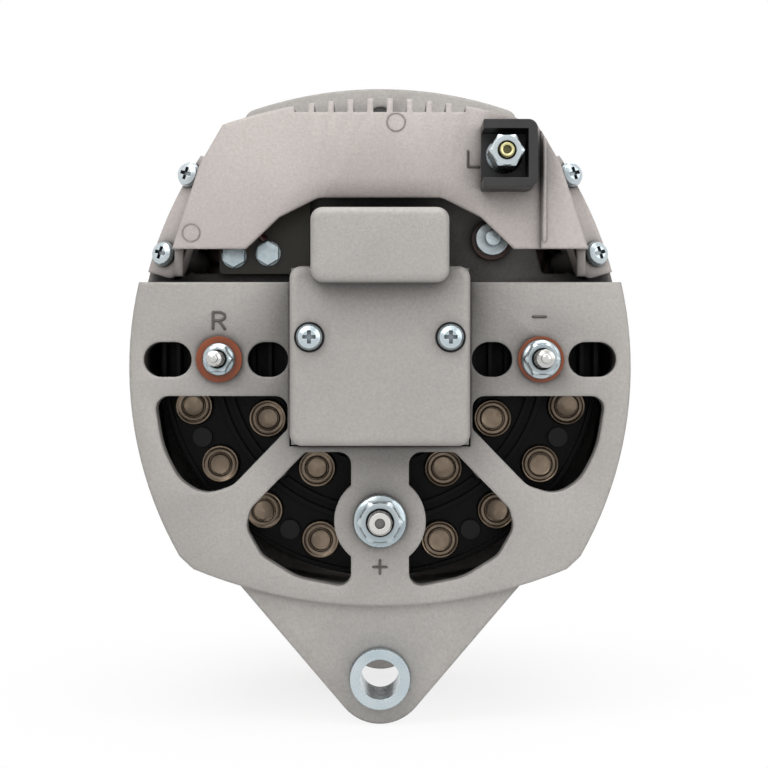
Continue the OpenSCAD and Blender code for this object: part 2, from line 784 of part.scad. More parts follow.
module hood() {
  step_x = hood_top_half_w + 1.7;
  color([0.75, 0.72, 0.71]) difference() {
    union() {
      slab(hood_face, hood_face + hood_wall) hood_plate_2d();
      slab(hood_face - 1.5, hood_face) intersection() {
        hood_plate_2d();
        translate([step_x, 0]) square([far, far]);
      }
      slab(hood_face + hood_wall, floor_rear) difference() {
        hood_outline_2d(0);
        hood_outline_2d(hood_wall);
        fin_notch_2d();
        below_2d(leg_z);
      }
      slab(hood_face + hood_wall, floor_rear) translate([-fin_zone - 1, hood_flat - hood_wall])
        square([2 * fin_zone + 2, hood_wall]);
      slab(hood_face, floor_rear) intersection() {
        translate([0, roof_z]) circle(hood_roof_r);
        for (i = [0:fin_count - 1])
          translate([i * fin_pitch - fin_zone, hood_flat - 0.5]) square([fin_t, far]);
      }
      both_sides() intersection() {
        wing_frame() translate([0, wing_t, 0]) rotate([90, 0, 0]) linear_extrude(wing_t)
          rounded_box(-8, 11, -wing_len / 2, wing_len / 2, 4);
        slab(rear_face, flange_rear) body_2d();
      }
    }
    slab(hood_face - 2, hood_face + 8)
      translate([-far, leg_z - 1]) square([2 * far, hood_bottom - leg_z + 1]);
    both_sides() wing_frame() {
      translate([-12, wing_t, -wing_len / 2 - air_gap]) cube([20, far, wing_len + 2 * air_gap]);
      for (z = [-1, 1]) translate([0, -1, z * wing_screw_pitch / 2])
        rotate([-90, 0, 0]) cylinder(h = wing_t + 2, r = screw_r + bolt_gap);
    }
    rod(lamp_d / 2 + 1.5, hood_face - 1, hood_face + hood_wall + 1, [lamp_x, lamp_z]);
  }
}
module hood_screws() {
  color([0.72, 0.78, 0.82]) both_sides() wing_frame() for (z = [-1, 1])
    translate([0, 0, z * wing_screw_pitch / 2]) rotate([-90, 0, 0]) pan_screw(12);
}

// Heat sinks and diodes, drawn for the left side
function diode_spots() =
  [for (a = outer_angles) polar(outer_row_r, a), for (a = inner_angles) polar(inner_row_r, a)];
module sink_2d() {
  intersection() {
    difference() {
      circle(sink_out_r);
      circle(sink_in_r);
    }
    polygon([[0, 0], polar(far, 187), polar(far, 225), polar(far, 263)]);
  }
  translate([-73, -9.5]) square([43, 25]);
}
module sink_holes_2d() {
  for (p = diode_spots()) translate(p) circle(diode_r);
  for (a = phase_angles) translate(polar(phase_r, a)) circle(screw_r);
  for (at = sink_screw_at) translate([-at[0], at[1]]) circle(screw_r);
}
module sink_ribs() {
  slab(sink_rear - 2.5, sink_rear) difference() {
    intersection() {
      sink_2d();
      union() {
        difference() {
          circle(52.6);
          circle(51);
        }
        difference() {
          circle(56.4);
          circle(54.6);
        }
        difference() {
          circle(sink_out_r);
          circle(sink_out_r - 1.6);
        }
      }
      below_2d(-9.5);
    }
    translate([-sink_screw_at[0][0], sink_screw_at[0][1]]) circle(sink_post_r + 1);
  }
  for (x = [30.5, 36, 41.5, 61.5, 66.5, 71.2]) slab(sink_rear - 10, sink_rear)
    translate([-x - 1.6, -9.5]) square([1.6, 15]);
}
module heat_sink_positive() {
  color([0.07, 0.07, 0.08]) difference() {
    union() {
      slab(sink_rear, sink_front) {
        sink_2d();
        translate([0, -plus_z]) circle(plus_d / 2 + 4);
      }
      sink_ribs();
    }
    slab(sink_rear - 3, sink_front + 1) {
      sink_holes_2d();
      translate([0, -plus_z]) circle(plus_d / 2);
    }
  }
}
module heat_sink_negative() {
  color([0.07, 0.07, 0.08]) difference() {
    mirror([1, 0, 0]) union() {
      slab(sink_rear, sink_front) sink_2d();
      sink_ribs();
    }
    slab(sink_rear - 3, sink_front + 1) {
      mirror([1, 0, 0]) sink_holes_2d();
      translate([0, -plus_z]) circle(plus_d / 2 + 6);
    }
  }
}
module diodes(rim_depth) {
  for (p = diode_spots()) translate([p[0], sink_rear - diode_proud, shaft_z + p[1]])
    rotate([-90, 0, 0]) rotate_extrude() polygon([[0, 0.5], [diode_r * 0.62, 0.5],
      [diode_r * 0.66, rim_depth], [diode_r * 0.82, rim_depth], [diode_r * 0.86, 0],
      [diode_r * 0.96, 0], [diode_r, 0.5], [diode_r, diode_t], [0, diode_t]]);
}
module diodes_positive() {
  color([0.42, 0.36, 0.3]) diodes(0.9);
}
module diodes_negative() {
  color([0.42, 0.36, 0.3]) mirror([1, 0, 0]) diodes(1.6);
}
module sink_screws() {
  color([0.1, 0.1, 0.11]) both_sides() {
    for (a = phase_angles) {
      at = polar(phase_r, a);
      rod(3.4, sink_rear - sink_screw_head, sink_rear, at);
      rod(screw_r, sink_rear, sink_front, at);
    }
    for (at = sink_screw_at) {
      rod(3.4, sink_front, sink_front + sink_screw_head, at);
      rod(screw_r, sink_rear - 9, sink_front, at);
    }
  }
}
module sink_insulators() {
  color([0.45, 0.2, 0.1]) both_sides() for (at = sink_screw_at)
    slab(sink_rear - sink_insulator_t, sink_rear) translate(at) difference() {
      circle(sink_post_r);
      circle(screw_r);
    }
}

// Terminals
module tube(r0, r1, y0, y1, at) {
  slab(y0, y1) translate(at) difference() {
    circle(r1);
    circle(r0);
  }
}
// Flange nut whose flange lies against y1
module flange_nut(bore, af, flange_r, h, y1, at) {
  slab(y1 - h, y1 - 1.4) translate(at) difference() {
    circle(af / 2 / cos(30), $fn = 6);
    circle(bore);
  }
  tube(bore, flange_r, y1 - 1.4, y1, at);
}
// Insulating bush in two halves that meet inside the plate
module bush(bore, hole, flange, out_t, in_t, at) {
  meet = rear_face + plate_t / 2;
  tube(bore, flange, rear_face - out_t, rear_face, at);
  tube(bore, hole, rear_face, meet, at);
  tube(bore, hole, meet, plate_front, at);
  tube(bore, flange - 0.5, plate_front, plate_front + in_t, at);
}
plus_at = [0, -plus_z];
relay_at = [-stud_x, slot_z];
minus_at = [stud_x, slot_z];
side_bush_t = 2;
plus_bush_t = 1;
module plus_stud() {
  color([0.75, 0.76, 0.77]) difference() {
    union() {
      rod(plus_d / 2, rear_face - plus_proud, sink_front, plus_at);
      rod(plus_d / 2 + 2.5, plate_front + side_bush_t, sink_rear, plus_at);
    }
    rod(plus_d / 6, rear_face - plus_proud - 1, rear_face - plus_proud + 3, plus_at);
  }
}
module plus_nut() {
  color([0.72, 0.77, 0.8]) flange_nut(plus_d / 2, 13, 8.6, 8, rear_face - plus_bush_t, plus_at);
}
module plus_insulator() {
  color([0.45, 0.2, 0.1]) bush(plus_d / 2, plus_d / 2 + plus_wall, 8, plus_bush_t, side_bush_t, plus_at);
}
module side_stud(d, at) {
  rod(d / 2, rear_face - stud_proud, plate_front + side_bush_t, at);
  rod(d / 2 + 2, plate_front + side_bush_t, plate_front + side_bush_t + 3, at);
}
module relay_stud() {
  color([0.78, 0.79, 0.8]) side_stud(relay_d, relay_at);
}
module relay_nut() {
  color([0.75, 0.77, 0.79]) flange_nut(relay_d / 2, 8, 5.3, 6.5, rear_face - side_bush_t, relay_at);
}
module minus_stud() {
  color([0.78, 0.79, 0.8]) side_stud(minus_d, minus_at);
}
module minus_nut() {
  color([0.75, 0.77, 0.79]) flange_nut(minus_d / 2, 10, 6.4, 7.5, rear_face - side_bush_t, minus_at);
}
module stud_insulators() {
  color([0.5, 0.2, 0.08]) {
    bush(relay_d / 2, insulator_d / 2 - 2.5, insulator_d / 2, side_bush_t, side_bush_t, relay_at);
    bush(minus_d / 2, insulator_d / 2 - 2.5, insulator_d / 2, side_bush_t, side_bush_t, minus_at);
  }
}

// L terminal on the hood
lamp_at = [lamp_x, lamp_z];
block_floor = 2;
module lamp_block() {
  x0 = block_x - block_w / 2;
  x1 = block_x + block_w / 2;
  z0 = block_z - block_h / 2;
  z1 = block_z + block_h / 2;
  color([0.13, 0.13, 0.14]) difference() {
    union() {
      slab(block_face, hood_face)
        polygon(rounded(box_points(x0, x1, z0, z1), [0.4, block_wall, block_wall, 0.4]));
      rod(lamp_d / 2 + 1.5, hood_face, hood_face + hood_wall, lamp_at);
    }
    slab(block_face - 1, hood_face - block_floor)
      translate([x0 - 1, z0 + block_wall]) square([block_w - block_wall + 1, block_h - 2 * block_wall]);
    rod(lamp_d / 2, block_face, hood_face + hood_wall + 1, lamp_at);
  }
}
module lamp_stud() {
  inner = hood_face + hood_wall;
  color([0.78, 0.74, 0.5]) difference() {
    union() {
      rod(lamp_d / 2, block_face - 2.5, inner, lamp_at);
      rod(lamp_d / 2 + 2, inner, inner + 3, lamp_at);
    }
    rod(lamp_d / 3.4, block_face - 3, block_face - 0.5, lamp_at);
  }
}
module lamp_nut() {
  color([0.74, 0.77, 0.8])
    flange_nut(lamp_d / 2, 9.9, 5.9, block_depth - block_floor + 1, hood_face - block_floor, lamp_at);
}

// Under the hood
regulator_x = 31;
regulator_z = [cutout_top + 2.4, hood_flat - hood_wall - 1.5];
module regulator() {
  color([0.1, 0.1, 0.11]) slab(floor_rear - 15, floor_rear)
    rounded_box(-regulator_x, regulator_x, regulator_z[0], regulator_z[1], 2);
}
module carrier_plate() {
  color([0.23, 0.21, 0.1]) slab(floor_rear - carrier_t, floor_rear) difference() {
    rounded_box(-53.8, -pad_half_w - 1.5, plate_top + 3.6, regulator_z[0] - 0.5, 1.5);
    for (at = carrier_nut_at) translate(at) circle(screw_r);
  }
}
module small_nut(y1, at) {
  hex_rod(7, y1 - 3.6, y1 - 1, at);
  rod(4.2, y1 - 1, y1, at);
}
module carrier_nuts() {
  color([0.5, 0.52, 0.53]) for (at = carrier_nut_at) {
    small_nut(floor_rear - carrier_t, at);
    rod(screw_r, floor_rear - carrier_t, floor_front, at);
  }
}
module field_stud() {
  back = floor_rear - 2;
  color([0.55, 0.58, 0.58]) {
    rod(field_stud_r, back - 10, floor_front, field_stud_at);
    rod(field_stud_r + 2, floor_front, floor_front + 3, field_stud_at);
    slab(back - 4.6, back) translate(field_stud_at) difference() {
      circle(5.4);
      circle(field_stud_r);
    }
  }
}
module field_insulator() {
  color([0.4, 0.2, 0.1]) {
    tube(field_stud_r, 6.8, floor_rear - 2, floor_rear, field_stud_at);
    tube(field_stud_r, field_stud_r + 1.5, floor_rear, floor_front, field_stud_at);
  }
}
// Red lead from the regulator's side down to the nearer carrier nut
lead_r = 1.2;
lead_points = [[-31.3, 58], [-34, 58], [-37, 56], [-39.5, 53], [-41, 49.5], [-41.5, 46], [-41.2, 42.5],
  [-40, 40], [-38.3, 38.6]];
module field_lead() {
  sides = 8;
  n = len(lead_points);
  y = floor_rear - carrier_t - lead_r - 0.2;
  rings = [for (i = [0:n - 1]) let (a = lead_points[max(0, i - 1)], b = lead_points[min(n - 1, i + 1)],
      t = unit(b - a), p = lead_points[i])
    for (k = [0:sides - 1]) let (c = cos(k * 360 / sides), s = sin(k * 360 / sides))
      [p[0] - t[1] * c * lead_r, y + s * lead_r, shaft_z + p[1] + t[0] * c * lead_r]];
  color([0.55, 0.06, 0.05]) polyhedron(rings, concat(
    [for (i = [0:n - 2], k = [0:sides - 1]) let (k2 = (k + 1) % sides)
      [i * sides + k, (i + 1) * sides + k, (i + 1) * sides + k2, i * sides + k2]],
    [[for (k = [0:sides - 1]) k], [for (k = [sides - 1:-1:0]) (n - 1) * sides + k]]));
}

// Brushes
pocket_y = brush_t / 2 + brush_gap;
pocket_x = brush_w / 2 + brush_gap;
module brush_holder() {
  x = pocket_x + holder_wall + 5;
  color([0.12, 0.11, 0.1]) difference() {
    slab(ring_y[0] - pocket_y - holder_wall, plate_front)
      translate([-x, holder_z0]) square([2 * x, holder_top - holder_z0 - air_gap]);
    for (y = ring_y) translate([-pocket_x, y - pocket_y, shaft_z + holder_z0 - 1])
      cube([2 * pocket_x, 2 * pocket_y, pocket_top - holder_z0 + 1]);
    ring(0, slip_ring_r + 2, cover_face, plate_front + 1);
  }
}
module brush(y) {
  color([0.2, 0.19, 0.19]) difference() {
    translate([-brush_w / 2, y - brush_t / 2, shaft_z + slip_ring_r - 2])
      cube([brush_w, brush_t, brush_top - slip_ring_r + 2]);
    ring(0, slip_ring_r + brush_gap, y - brush_t, y + brush_t);
  }
}
module brush_outer() {
  brush(ring_y[0]);
}
module brush_inner() {
  brush(ring_y[1]);
}
// Coil spring between a brush and the top of its pocket
module coil(y) {
  sides = 6;
  steps = 12;
  n = spring_turns * steps;
  r = brush_t / 2 - spring_wire;
  z0 = shaft_z + brush_top + spring_wire / 2 + 0.02;
  rise = pocket_top - brush_top - spring_wire - 0.04;
  rings = [for (i = [0:n]) let (a = i * 360 / steps)
    for (k = [0:sides - 1]) let (t = k * 360 / sides, c = spring_wire / 2 * cos(t))
      [(r + c) * cos(a), y + (r + c) * sin(a), z0 + rise * i / n + spring_wire / 2 * sin(t)]];
  color([0.6, 0.6, 0.58]) polyhedron(rings, concat(
    [for (i = [0:n - 1], k = [0:sides - 1]) let (k2 = (k + 1) % sides)
      [i * sides + k, (i + 1) * sides + k, (i + 1) * sides + k2, i * sides + k2]],
    [[for (k = [0:sides - 1]) k], [for (k = [sides - 1:-1:0]) n * sides + k]]));
}
module brush_spring_outer() {
  coil(ring_y[0]);
}
module brush_spring_inner() {
  coil(ring_y[1]);
}

// Rotor
tail_r = 7;
pole_bore_r = 13.5;
shoulder_r = 15;
thread_r = 10;
key_w = 5;
key_y = [fan_disc_y1 + 5, fan_disc_y1 + 21];
key_z = [nose_r - 2.5, nose_r + 2.2];
module key_box() {
  translate([-key_w / 2, key_y[0], shaft_z + key_z[0]])
    cube([key_w, key_y[1] - key_y[0], key_z[1] - key_z[0]]);
}
module rotor_shaft() {
  color([0.62, 0.63, 0.64]) difference() {
    turned() polygon([[0, shaft_rear], [tail_r, shaft_rear], [tail_r, rear_bearing_y0 - 1],
      [rear_bore_r, rear_bearing_y0 - 1], [rear_bore_r, rear_bearing_y1],
      [rear_bore_r + 2.5, rear_bearing_y1], [rear_bore_r + 2.5, rotor_y0], [pole_bore_r, rotor_y0],
      [pole_bore_r, rotor_y1], [shoulder_r, rotor_y1], [shoulder_r, front_bearing_y0],
      [front_bore_r, front_bearing_y0], [front_bore_r, front_bearing_y1], [nose_r, front_bearing_y1],
      [nose_r, pulley_seat], [thread_r, pulley_seat], [thread_r, shaft_front - 1],
      [thread_r - 1, shaft_front], [0, shaft_front]]);
    key_box();
  }
}
// Claw pole whose disc runs from y0 to y1; a negative way points its claws to the rear
module claw_pole(y0, way, turn) {
  disc = way * claw_disc_t;
  bend = disc - 2 * way;
  tip = way * (rotor_len - 1);
  root_w = 2.1 * rotor_r * sin(90 / claw_count);
  tip_w = root_w * 0.45;
  module span(r0, r1, a, b) {
    ring(r0, r1, y0 + min(a, b), y0 + max(a, b));
  }
  span(pole_bore_r, core_r, 0, way * rotor_len / 2);
  span(pole_bore_r, field_r + 1.5, 0, disc);
  for (i = [0:claw_count - 1]) intersection() {
    union() {
      span(field_r, rotor_r, 0, disc - way);
      span(field_r + 3, rotor_r, 0, way * rotor_len);
    }
    translate([0, y0, shaft_z]) rotate([0, turn + i * 360 / claw_count, 0]) translate([0, 0, field_r / 2])
      linear_extrude(rotor_r) polygon([[-root_w / 2, -way], [root_w / 2, -way], [root_w / 2, bend],
        [tip_w / 2, tip], [-tip_w / 2, tip], [-root_w / 2, bend]]);
  }
}
module claw_pole_rear() {
  color([0.36, 0.36, 0.37]) claw_pole(rotor_y0, 1, 0);
}
module claw_pole_front() {
  color([0.36, 0.36, 0.37]) claw_pole(rotor_y1, -1, 180 / claw_count);
}
module field_winding() {
  color([0.6, 0.33, 0.17]) ring(core_r, field_r, rotor_y0 + claw_disc_t, rotor_y1 - claw_disc_t);
}
module slip_ring_hub() {
  half = slip_ring_w / 2;
  core = slip_ring_r - 3;
  color([0.16, 0.14, 0.12]) {
    ring(tail_r, core, shaft_rear, plate_front - air_gap);
    ring(core, core + 2, ring_y[0] - half - 0.8, ring_y[0] - half);
    ring(core, core + 2, ring_y[0] + half, ring_y[1] - half);
    ring(core, core + 2, ring_y[1] + half, ring_y[1] + half + 0.8);
  }
}
module slip_rings() {
  color([0.72, 0.45, 0.25]) for (y = ring_y)
    ring(slip_ring_r - 3, slip_ring_r, y - slip_ring_w / 2, y + slip_ring_w / 2);
}

// Bearings
front_pitch = (front_bore_r + front_out_r) / 2;
rear_pitch = (rear_bore_r + rear_out_r) / 2;
front_mid = (front_bearing_y0 + front_bearing_y1) / 2;
rear_mid = (rear_bearing_y0 + rear_bearing_y1) / 2;
module race(r0, r1, y, w, pitch, ball) {
  color([0.7, 0.71, 0.72]) turned() difference() {
    translate([r0, y - w / 2]) square([r1 - r0, w]);
    translate([pitch, y]) circle(ball + run_gap);
  }
}
module at_balls(y, pitch) {
  translate([0, y, shaft_z]) for (i = [0:ball_count - 1])
    rotate([0, i * 360 / ball_count, 0]) translate([0, 0, pitch]) children();
}
module cage(y, pitch, ball) {
  color([0.55, 0.45, 0.22]) difference() {
    ring(pitch - 1, pitch + 1, y - ball - 0.8, y + ball + 0.8);
    at_balls(y, pitch) sphere(ball + run_gap);
  }
}
module front_bearing_outer() {
  race(front_pitch + front_ball_r * 0.55, front_out_r, front_mid, front_w, front_pitch, front_ball_r);
}
module front_bearing_inner() {
  race(front_bore_r, front_pitch - front_ball_r * 0.55, front_mid, front_w, front_pitch, front_ball_r);
}
module front_bearing_balls() {
  color([0.75, 0.76, 0.77]) at_balls(front_mid, front_pitch) sphere(front_ball_r);
}
module front_bearing_cage() {
  cage(front_mid, front_pitch, front_ball_r);
}
module rear_bearing_outer() {
  race(rear_pitch + rear_ball_r * 0.55, rear_out_r, rear_mid, rear_w, rear_pitch, rear_ball_r);
}
module rear_bearing_inner() {
  race(rear_bore_r, rear_pitch - rear_ball_r * 0.55, rear_mid, rear_w, rear_pitch, rear_ball_r);
}
module rear_bearing_balls() {
  color([0.75, 0.76, 0.77]) at_balls(rear_mid, rear_pitch) sphere(rear_ball_r);
}
module rear_bearing_cage() {
  cage(rear_mid, rear_pitch, rear_ball_r);
}
module bearing_retainer() {
  color([0.55, 0.57, 0.58]) slab(front_bearing_y0 - retainer_t, front_bearing_y0) difference() {
    circle(front_out_r + hub_wall);
    circle(front_out_r - 5.5);
    for (a = [45:90:315]) translate(polar(front_out_r + hub_wall / 2, a)) circle(screw_r);
  }
}
module retainer_screws() {
  back = front_bearing_y0 - retainer_t;
  color([0.6, 0.63, 0.66]) for (a = [45:90:315]) {
    at = polar(front_out_r + hub_wall / 2, a);
    rod(3.4, back - 2.5, back, at);
    rod(screw_r, back, front_bearing_y0 + 8, at);
  }
}

// Fan and pulley
module fan_spacer() {
  color([0.58, 0.6, 0.62]) ring(nose_r, front_pitch - front_ball_r - 0.5, front_bearing_y1, fan_disc_y0);
}
module fan() {
  color([0.6, 0.62, 0.64]) {
    ring(nose_r, fan_r, fan_disc_y0, fan_disc_y1);
    for (i = [0:blade_count - 1]) translate([0, 0, shaft_z]) rotate([0, i * 360 / blade_count, 0])
      translate([9, fan_y0, fan_r * 0.55]) cube([2.4, blade_h + 1, fan_r * 0.43]);
  }
}
module pulley() {
  y0 = fan_disc_y1;
  flange_r = pulley_r + 1.5;
  g0 = y0 + rim_flange + 2;
  land = 0.3;
  color([0.2, 0.2, 0.21]) difference() {
    turned() polygon(concat([[nose_r, y0], [flange_r, y0], [flange_r, y0 + rim_flange]],
      [for (i = [0:groove_count - 1]) each [[pulley_r, g0 + i * groove_pitch + land],
        [pulley_r - groove_depth, g0 + (i + 0.5) * groove_pitch - land],
        [pulley_r - groove_depth, g0 + (i + 0.5) * groove_pitch + land],
        [pulley_r, g0 + (i + 1) * groove_pitch - land]]],
      [[flange_r, pulley_y1 - rim_flange], [flange_r, pulley_y1], [recess_r, pulley_y1],
        [recess_r, pulley_seat], [nose_r, pulley_seat]]));
    key_box();
  }
}
recess_r = pulley_nut_af / 2 + 9;
module pulley_key() {
  color([0.5, 0.5, 0.5]) key_box();
}
module pulley_washer() {
  color([0.55, 0.57, 0.58]) ring(thread_r, recess_r - 4, pulley_seat, pulley_nut_y0);
}
module pulley_nut() {
  color([0.62, 0.64, 0.66]) slab(pulley_nut_y0, pulley_nut_y0 + pulley_nut_h) difference() {
    rotate(30) circle(pulley_nut_af / 2 / cos(30), $fn = 6);
    circle(thread_r);
  }
}

rear_housing();
hinge_bushing();
drive_housing();
through_bolts();
stator_core();
stator_windings();
rear_cover();
cover_screws();
hood();
hood_screws();
heat_sink_positive();
heat_sink_negative();
diodes_positive();
diodes_negative();
sink_screws();
sink_insulators();
plus_stud();
plus_nut();
plus_insulator();
relay_stud();
relay_nut();
minus_stud();
minus_nut();
stud_insulators();
lamp_block();
lamp_stud();
lamp_nut();
regulator();
carrier_plate();
carrier_nuts();
field_lead();
field_stud();
field_insulator();
brush_holder();
brush_outer();
brush_inner();
brush_spring_outer();
brush_spring_inner();
rotor_shaft();
claw_pole_front();
claw_pole_rear();
field_winding();
slip_ring_hub();
slip_rings();
front_bearing_outer();
front_bearing_inner();
front_bearing_balls();
front_bearing_cage();
rear_bearing_outer();
rear_bearing_inner();
rear_bearing_balls();
rear_bearing_cage();
bearing_retainer();
retainer_screws();
fan_spacer();
fan();
pulley();
pulley_key();
pulley_washer();
pulley_nut();
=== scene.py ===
import json
import bpy
import bmesh
import numpy as np
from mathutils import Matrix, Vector

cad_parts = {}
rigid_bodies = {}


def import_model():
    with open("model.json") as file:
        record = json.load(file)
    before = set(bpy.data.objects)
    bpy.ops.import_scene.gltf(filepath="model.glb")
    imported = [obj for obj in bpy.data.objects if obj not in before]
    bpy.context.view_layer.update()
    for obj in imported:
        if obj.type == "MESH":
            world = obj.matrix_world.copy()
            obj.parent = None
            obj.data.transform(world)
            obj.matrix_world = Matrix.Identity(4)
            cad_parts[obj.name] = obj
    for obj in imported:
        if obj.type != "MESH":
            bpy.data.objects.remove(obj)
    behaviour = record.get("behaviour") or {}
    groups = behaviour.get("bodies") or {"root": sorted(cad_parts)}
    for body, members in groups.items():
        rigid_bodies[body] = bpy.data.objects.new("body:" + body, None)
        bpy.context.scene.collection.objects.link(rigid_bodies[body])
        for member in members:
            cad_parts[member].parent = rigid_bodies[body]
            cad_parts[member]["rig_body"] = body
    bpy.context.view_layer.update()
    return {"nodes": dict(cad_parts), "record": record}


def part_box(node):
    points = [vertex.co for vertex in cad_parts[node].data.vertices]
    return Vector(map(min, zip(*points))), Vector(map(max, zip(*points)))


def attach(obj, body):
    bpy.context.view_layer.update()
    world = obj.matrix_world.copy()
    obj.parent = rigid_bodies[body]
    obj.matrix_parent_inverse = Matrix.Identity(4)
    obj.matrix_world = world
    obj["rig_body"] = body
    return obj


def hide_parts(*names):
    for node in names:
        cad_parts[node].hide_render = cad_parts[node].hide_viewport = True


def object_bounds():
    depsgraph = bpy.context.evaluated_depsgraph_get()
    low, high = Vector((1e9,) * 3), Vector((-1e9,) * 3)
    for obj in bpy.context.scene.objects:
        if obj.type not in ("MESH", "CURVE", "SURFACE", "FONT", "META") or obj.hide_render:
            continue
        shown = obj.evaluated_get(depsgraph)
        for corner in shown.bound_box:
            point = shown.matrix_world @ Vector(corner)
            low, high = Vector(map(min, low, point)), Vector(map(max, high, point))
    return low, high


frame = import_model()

mm = 0.001
shaftHeight = 105.0     # mm above the hinge axis
rearFace = -139.0       # mm along the shaft: the rear plate's outside, where the hood ends too


# Shader maths: a socket wrapped so that + - * / and ** add Math nodes
class Wire:
    def __init__(self, graph, socket):
        self.graph, self.socket = graph, socket

    def math(self, operation, *others):
        values = {0: self, **dict(enumerate(others, 1))}
        return self.graph.node("ShaderNodeMath", {"operation": operation}, values)

    def __add__(self, other): return self.math("ADD", other)
    def __radd__(self, other): return self.math("ADD", other)
    def __sub__(self, other): return self.math("SUBTRACT", other)
    def __rsub__(self, other): return (self * -1).math("ADD", other)
    def __mul__(self, other): return self.math("MULTIPLY", other)
    def __rmul__(self, other): return self.math("MULTIPLY", other)
    def __truediv__(self, other): return self.math("DIVIDE", other)
    def __pow__(self, other): return self.math("POWER", other)
    def sine(self): return self.math("SINE")
    def clamped(self): return self.graph.node("ShaderNodeClamp", {}, {0: self})


class Graph:
    # Nodes of a material or of the world, built by expressions
    def __init__(self, tree):
        self.tree = tree

    def node(self, kind, settings, values, *outs):
        # Any node: its settings first, then the values or wires of its sockets; gives the wires named in outs
        made = self.tree.nodes.new(kind)
        for key, value in settings.items():
            setattr(made, key, value)
        for key, value in values.items():
            self.put(value, made.inputs[key])
        wires = [Wire(self, made.outputs[out]) for out in outs or (0,)]
        return wires if len(wires) > 1 else wires[0]

    def put(self, value, socket):
        if isinstance(value, Wire):
            self.tree.links.new(value.socket, socket)
        else:
            socket.default_value = value

    def place(self, scale=(1, 1, 1)):
        spot = self.node("ShaderNodeTexCoord", {}, {}, "Object")
        return self.node("ShaderNodeMapping", {}, {"Vector": spot, "Scale": scale})

    def split(self, where):
        return self.node("ShaderNodeSeparateXYZ", {}, {0: where}, 0, 1, 2)

    def noise(self, where, scale, detail=3.0, rough=0.5):
        values = {"Vector": where, "Scale": scale, "Detail": detail, "Roughness": rough}
        return self.node("ShaderNodeTexNoise", {}, values)

    def mix(self, factor, a, b):
        values = {0: factor, 6: self.colour(a), 7: self.colour(b)}
        return self.node("ShaderNodeMix", {"data_type": "RGBA"}, values, 2)

    def colour(self, value):
        return value if isinstance(value, Wire) else (*value[:3], 1)

    def spread(self, wire, low, high, a, b):
        return self.node("ShaderNodeMapRange", {}, {0: wire, 1: low, 2: high, 3: a, 4: b})

    def sightRays(self):
        # Rays that see the background plain: from the camera, off gloss and through glass
        rays = "Is Camera Ray", "Is Glossy Ray", "Is Transmission Ray"
        return self.node("ShaderNodeLightPath", {}, {}, *rays)


class Finish(Graph):
    # One material and its shader
    def __init__(self, name):
        self.material = bpy.data.materials.new(name)
        self.material.use_nodes = True
        super().__init__(self.material.node_tree)
        self.shader = self.tree.nodes["Principled BSDF"]

    def paintedShade(self, colour, reach, strength):
        # Painted shade: the colour is darkened where little open sky is within reach, as inside the housing;
        # less so beside the floor
        settings = {"samples": shade["samples"]}
        sky = self.node("ShaderNodeAmbientOcclusion", settings, {"Distance": reach}, "AO")
        height = self.split(self.place())[2]
        amount = self.spread(height, *shade["floorHeights"], shade["floorShare"], strength)
        return self.mix(((1 - sky) * amount).clamped(), colour, (shade["dark"],) * 3)

    def finish(self, colour, rough, metal=0.0, bump=None, depth=0.0002, edge=0.0, gloss=0.5):
        # edge is the radius in metres at which the shader rounds sharp edges
        values = {"Base Color": self.colour(colour), "Roughness": rough, "Metallic": metal,
                  "Specular IOR Level": gloss}
        for name, value in values.items():
            self.put(value, self.shader.inputs[name])
        normal = self.node("ShaderNodeBevel", {"samples": edgeSamples}, {"Radius": edge}) if edge else None
        if bump is not None:
            values = {"Height": bump, "Distance": depth, "Strength": 1.0}
            if normal:
                values["Normal"] = normal
            normal = self.node("ShaderNodeBump", {}, values)
        if normal:
            self.put(normal, self.shader.inputs["Normal"])
        return self.material


def srgb(hexText):
    # The linear colour of a hex text: c / 12.92 for dark values, else ((c + 0.055) / 1.055) to the power 2.4
    parts = np.array([int(hexText[i:i + 2], 16) for i in (0, 2, 4)]) / 255
    return tuple(np.where(parts <= 0.04045, parts / 12.92, ((parts + 0.055) / 1.055) ** 2.4))


# Finishes. Noise scales are per metre; depth, edge and reach are in metres.
castFinish = {"grain": 900.0, "fine": 2.6, "depth": 0.00018, "patch": 28.0, "rough": 0.5, "edge": 0.0015,
              "metal": 0.35, "speck": 0.32, "speckTone": 0.62}
# Painted shade: its reach (plate for plated parts), its strength on cast and small parts, its samples, its
# darkest tone and its fading near the floor
shade = {"reach": 0.03, "plate": 0.006, "cast": 1.35, "small": 1.1, "samples": 5, "dark": 0.004,
         "floorHeights": (0.02, 0.05), "floorShare": 0.15}
smallEdge = 0.0003
edgeSamples = 6


def castAluminium(name, base, light, reach=0.012):
    # Shot-blasted casting: fine pits and soft patches of tone
    g = Finish(name)
    at = g.place()
    pits = g.noise(at, castFinish["grain"], 4.0, 0.65)
    fine = g.noise(at, castFinish["grain"] * castFinish["fine"], 2.0, 0.6)
    patch = g.noise(at, castFinish["patch"], 4.0, 0.6)
    tone = g.mix(g.spread(patch, 0.3, 0.7, 0.0, 1.0), srgb(base), srgb(light))
    speck = g.spread(pits * 0.6 + fine * 0.4, 0.36, 0.64, 0.0, 1.0)
    pitted = g.mix(speck * castFinish["speck"], tone, tuple(c * castFinish["speckTone"] for c in srgb(base)))
    rough = castFinish["rough"] + speck * 0.1 + patch * 0.08
    # The colour carries painted shade where little sky is open within reach
    return g.finish(g.paintedShade(pitted, reach, shade["cast"]), rough, castFinish["metal"], pits + fine * 0.5,
                    castFinish["depth"], castFinish["edge"])


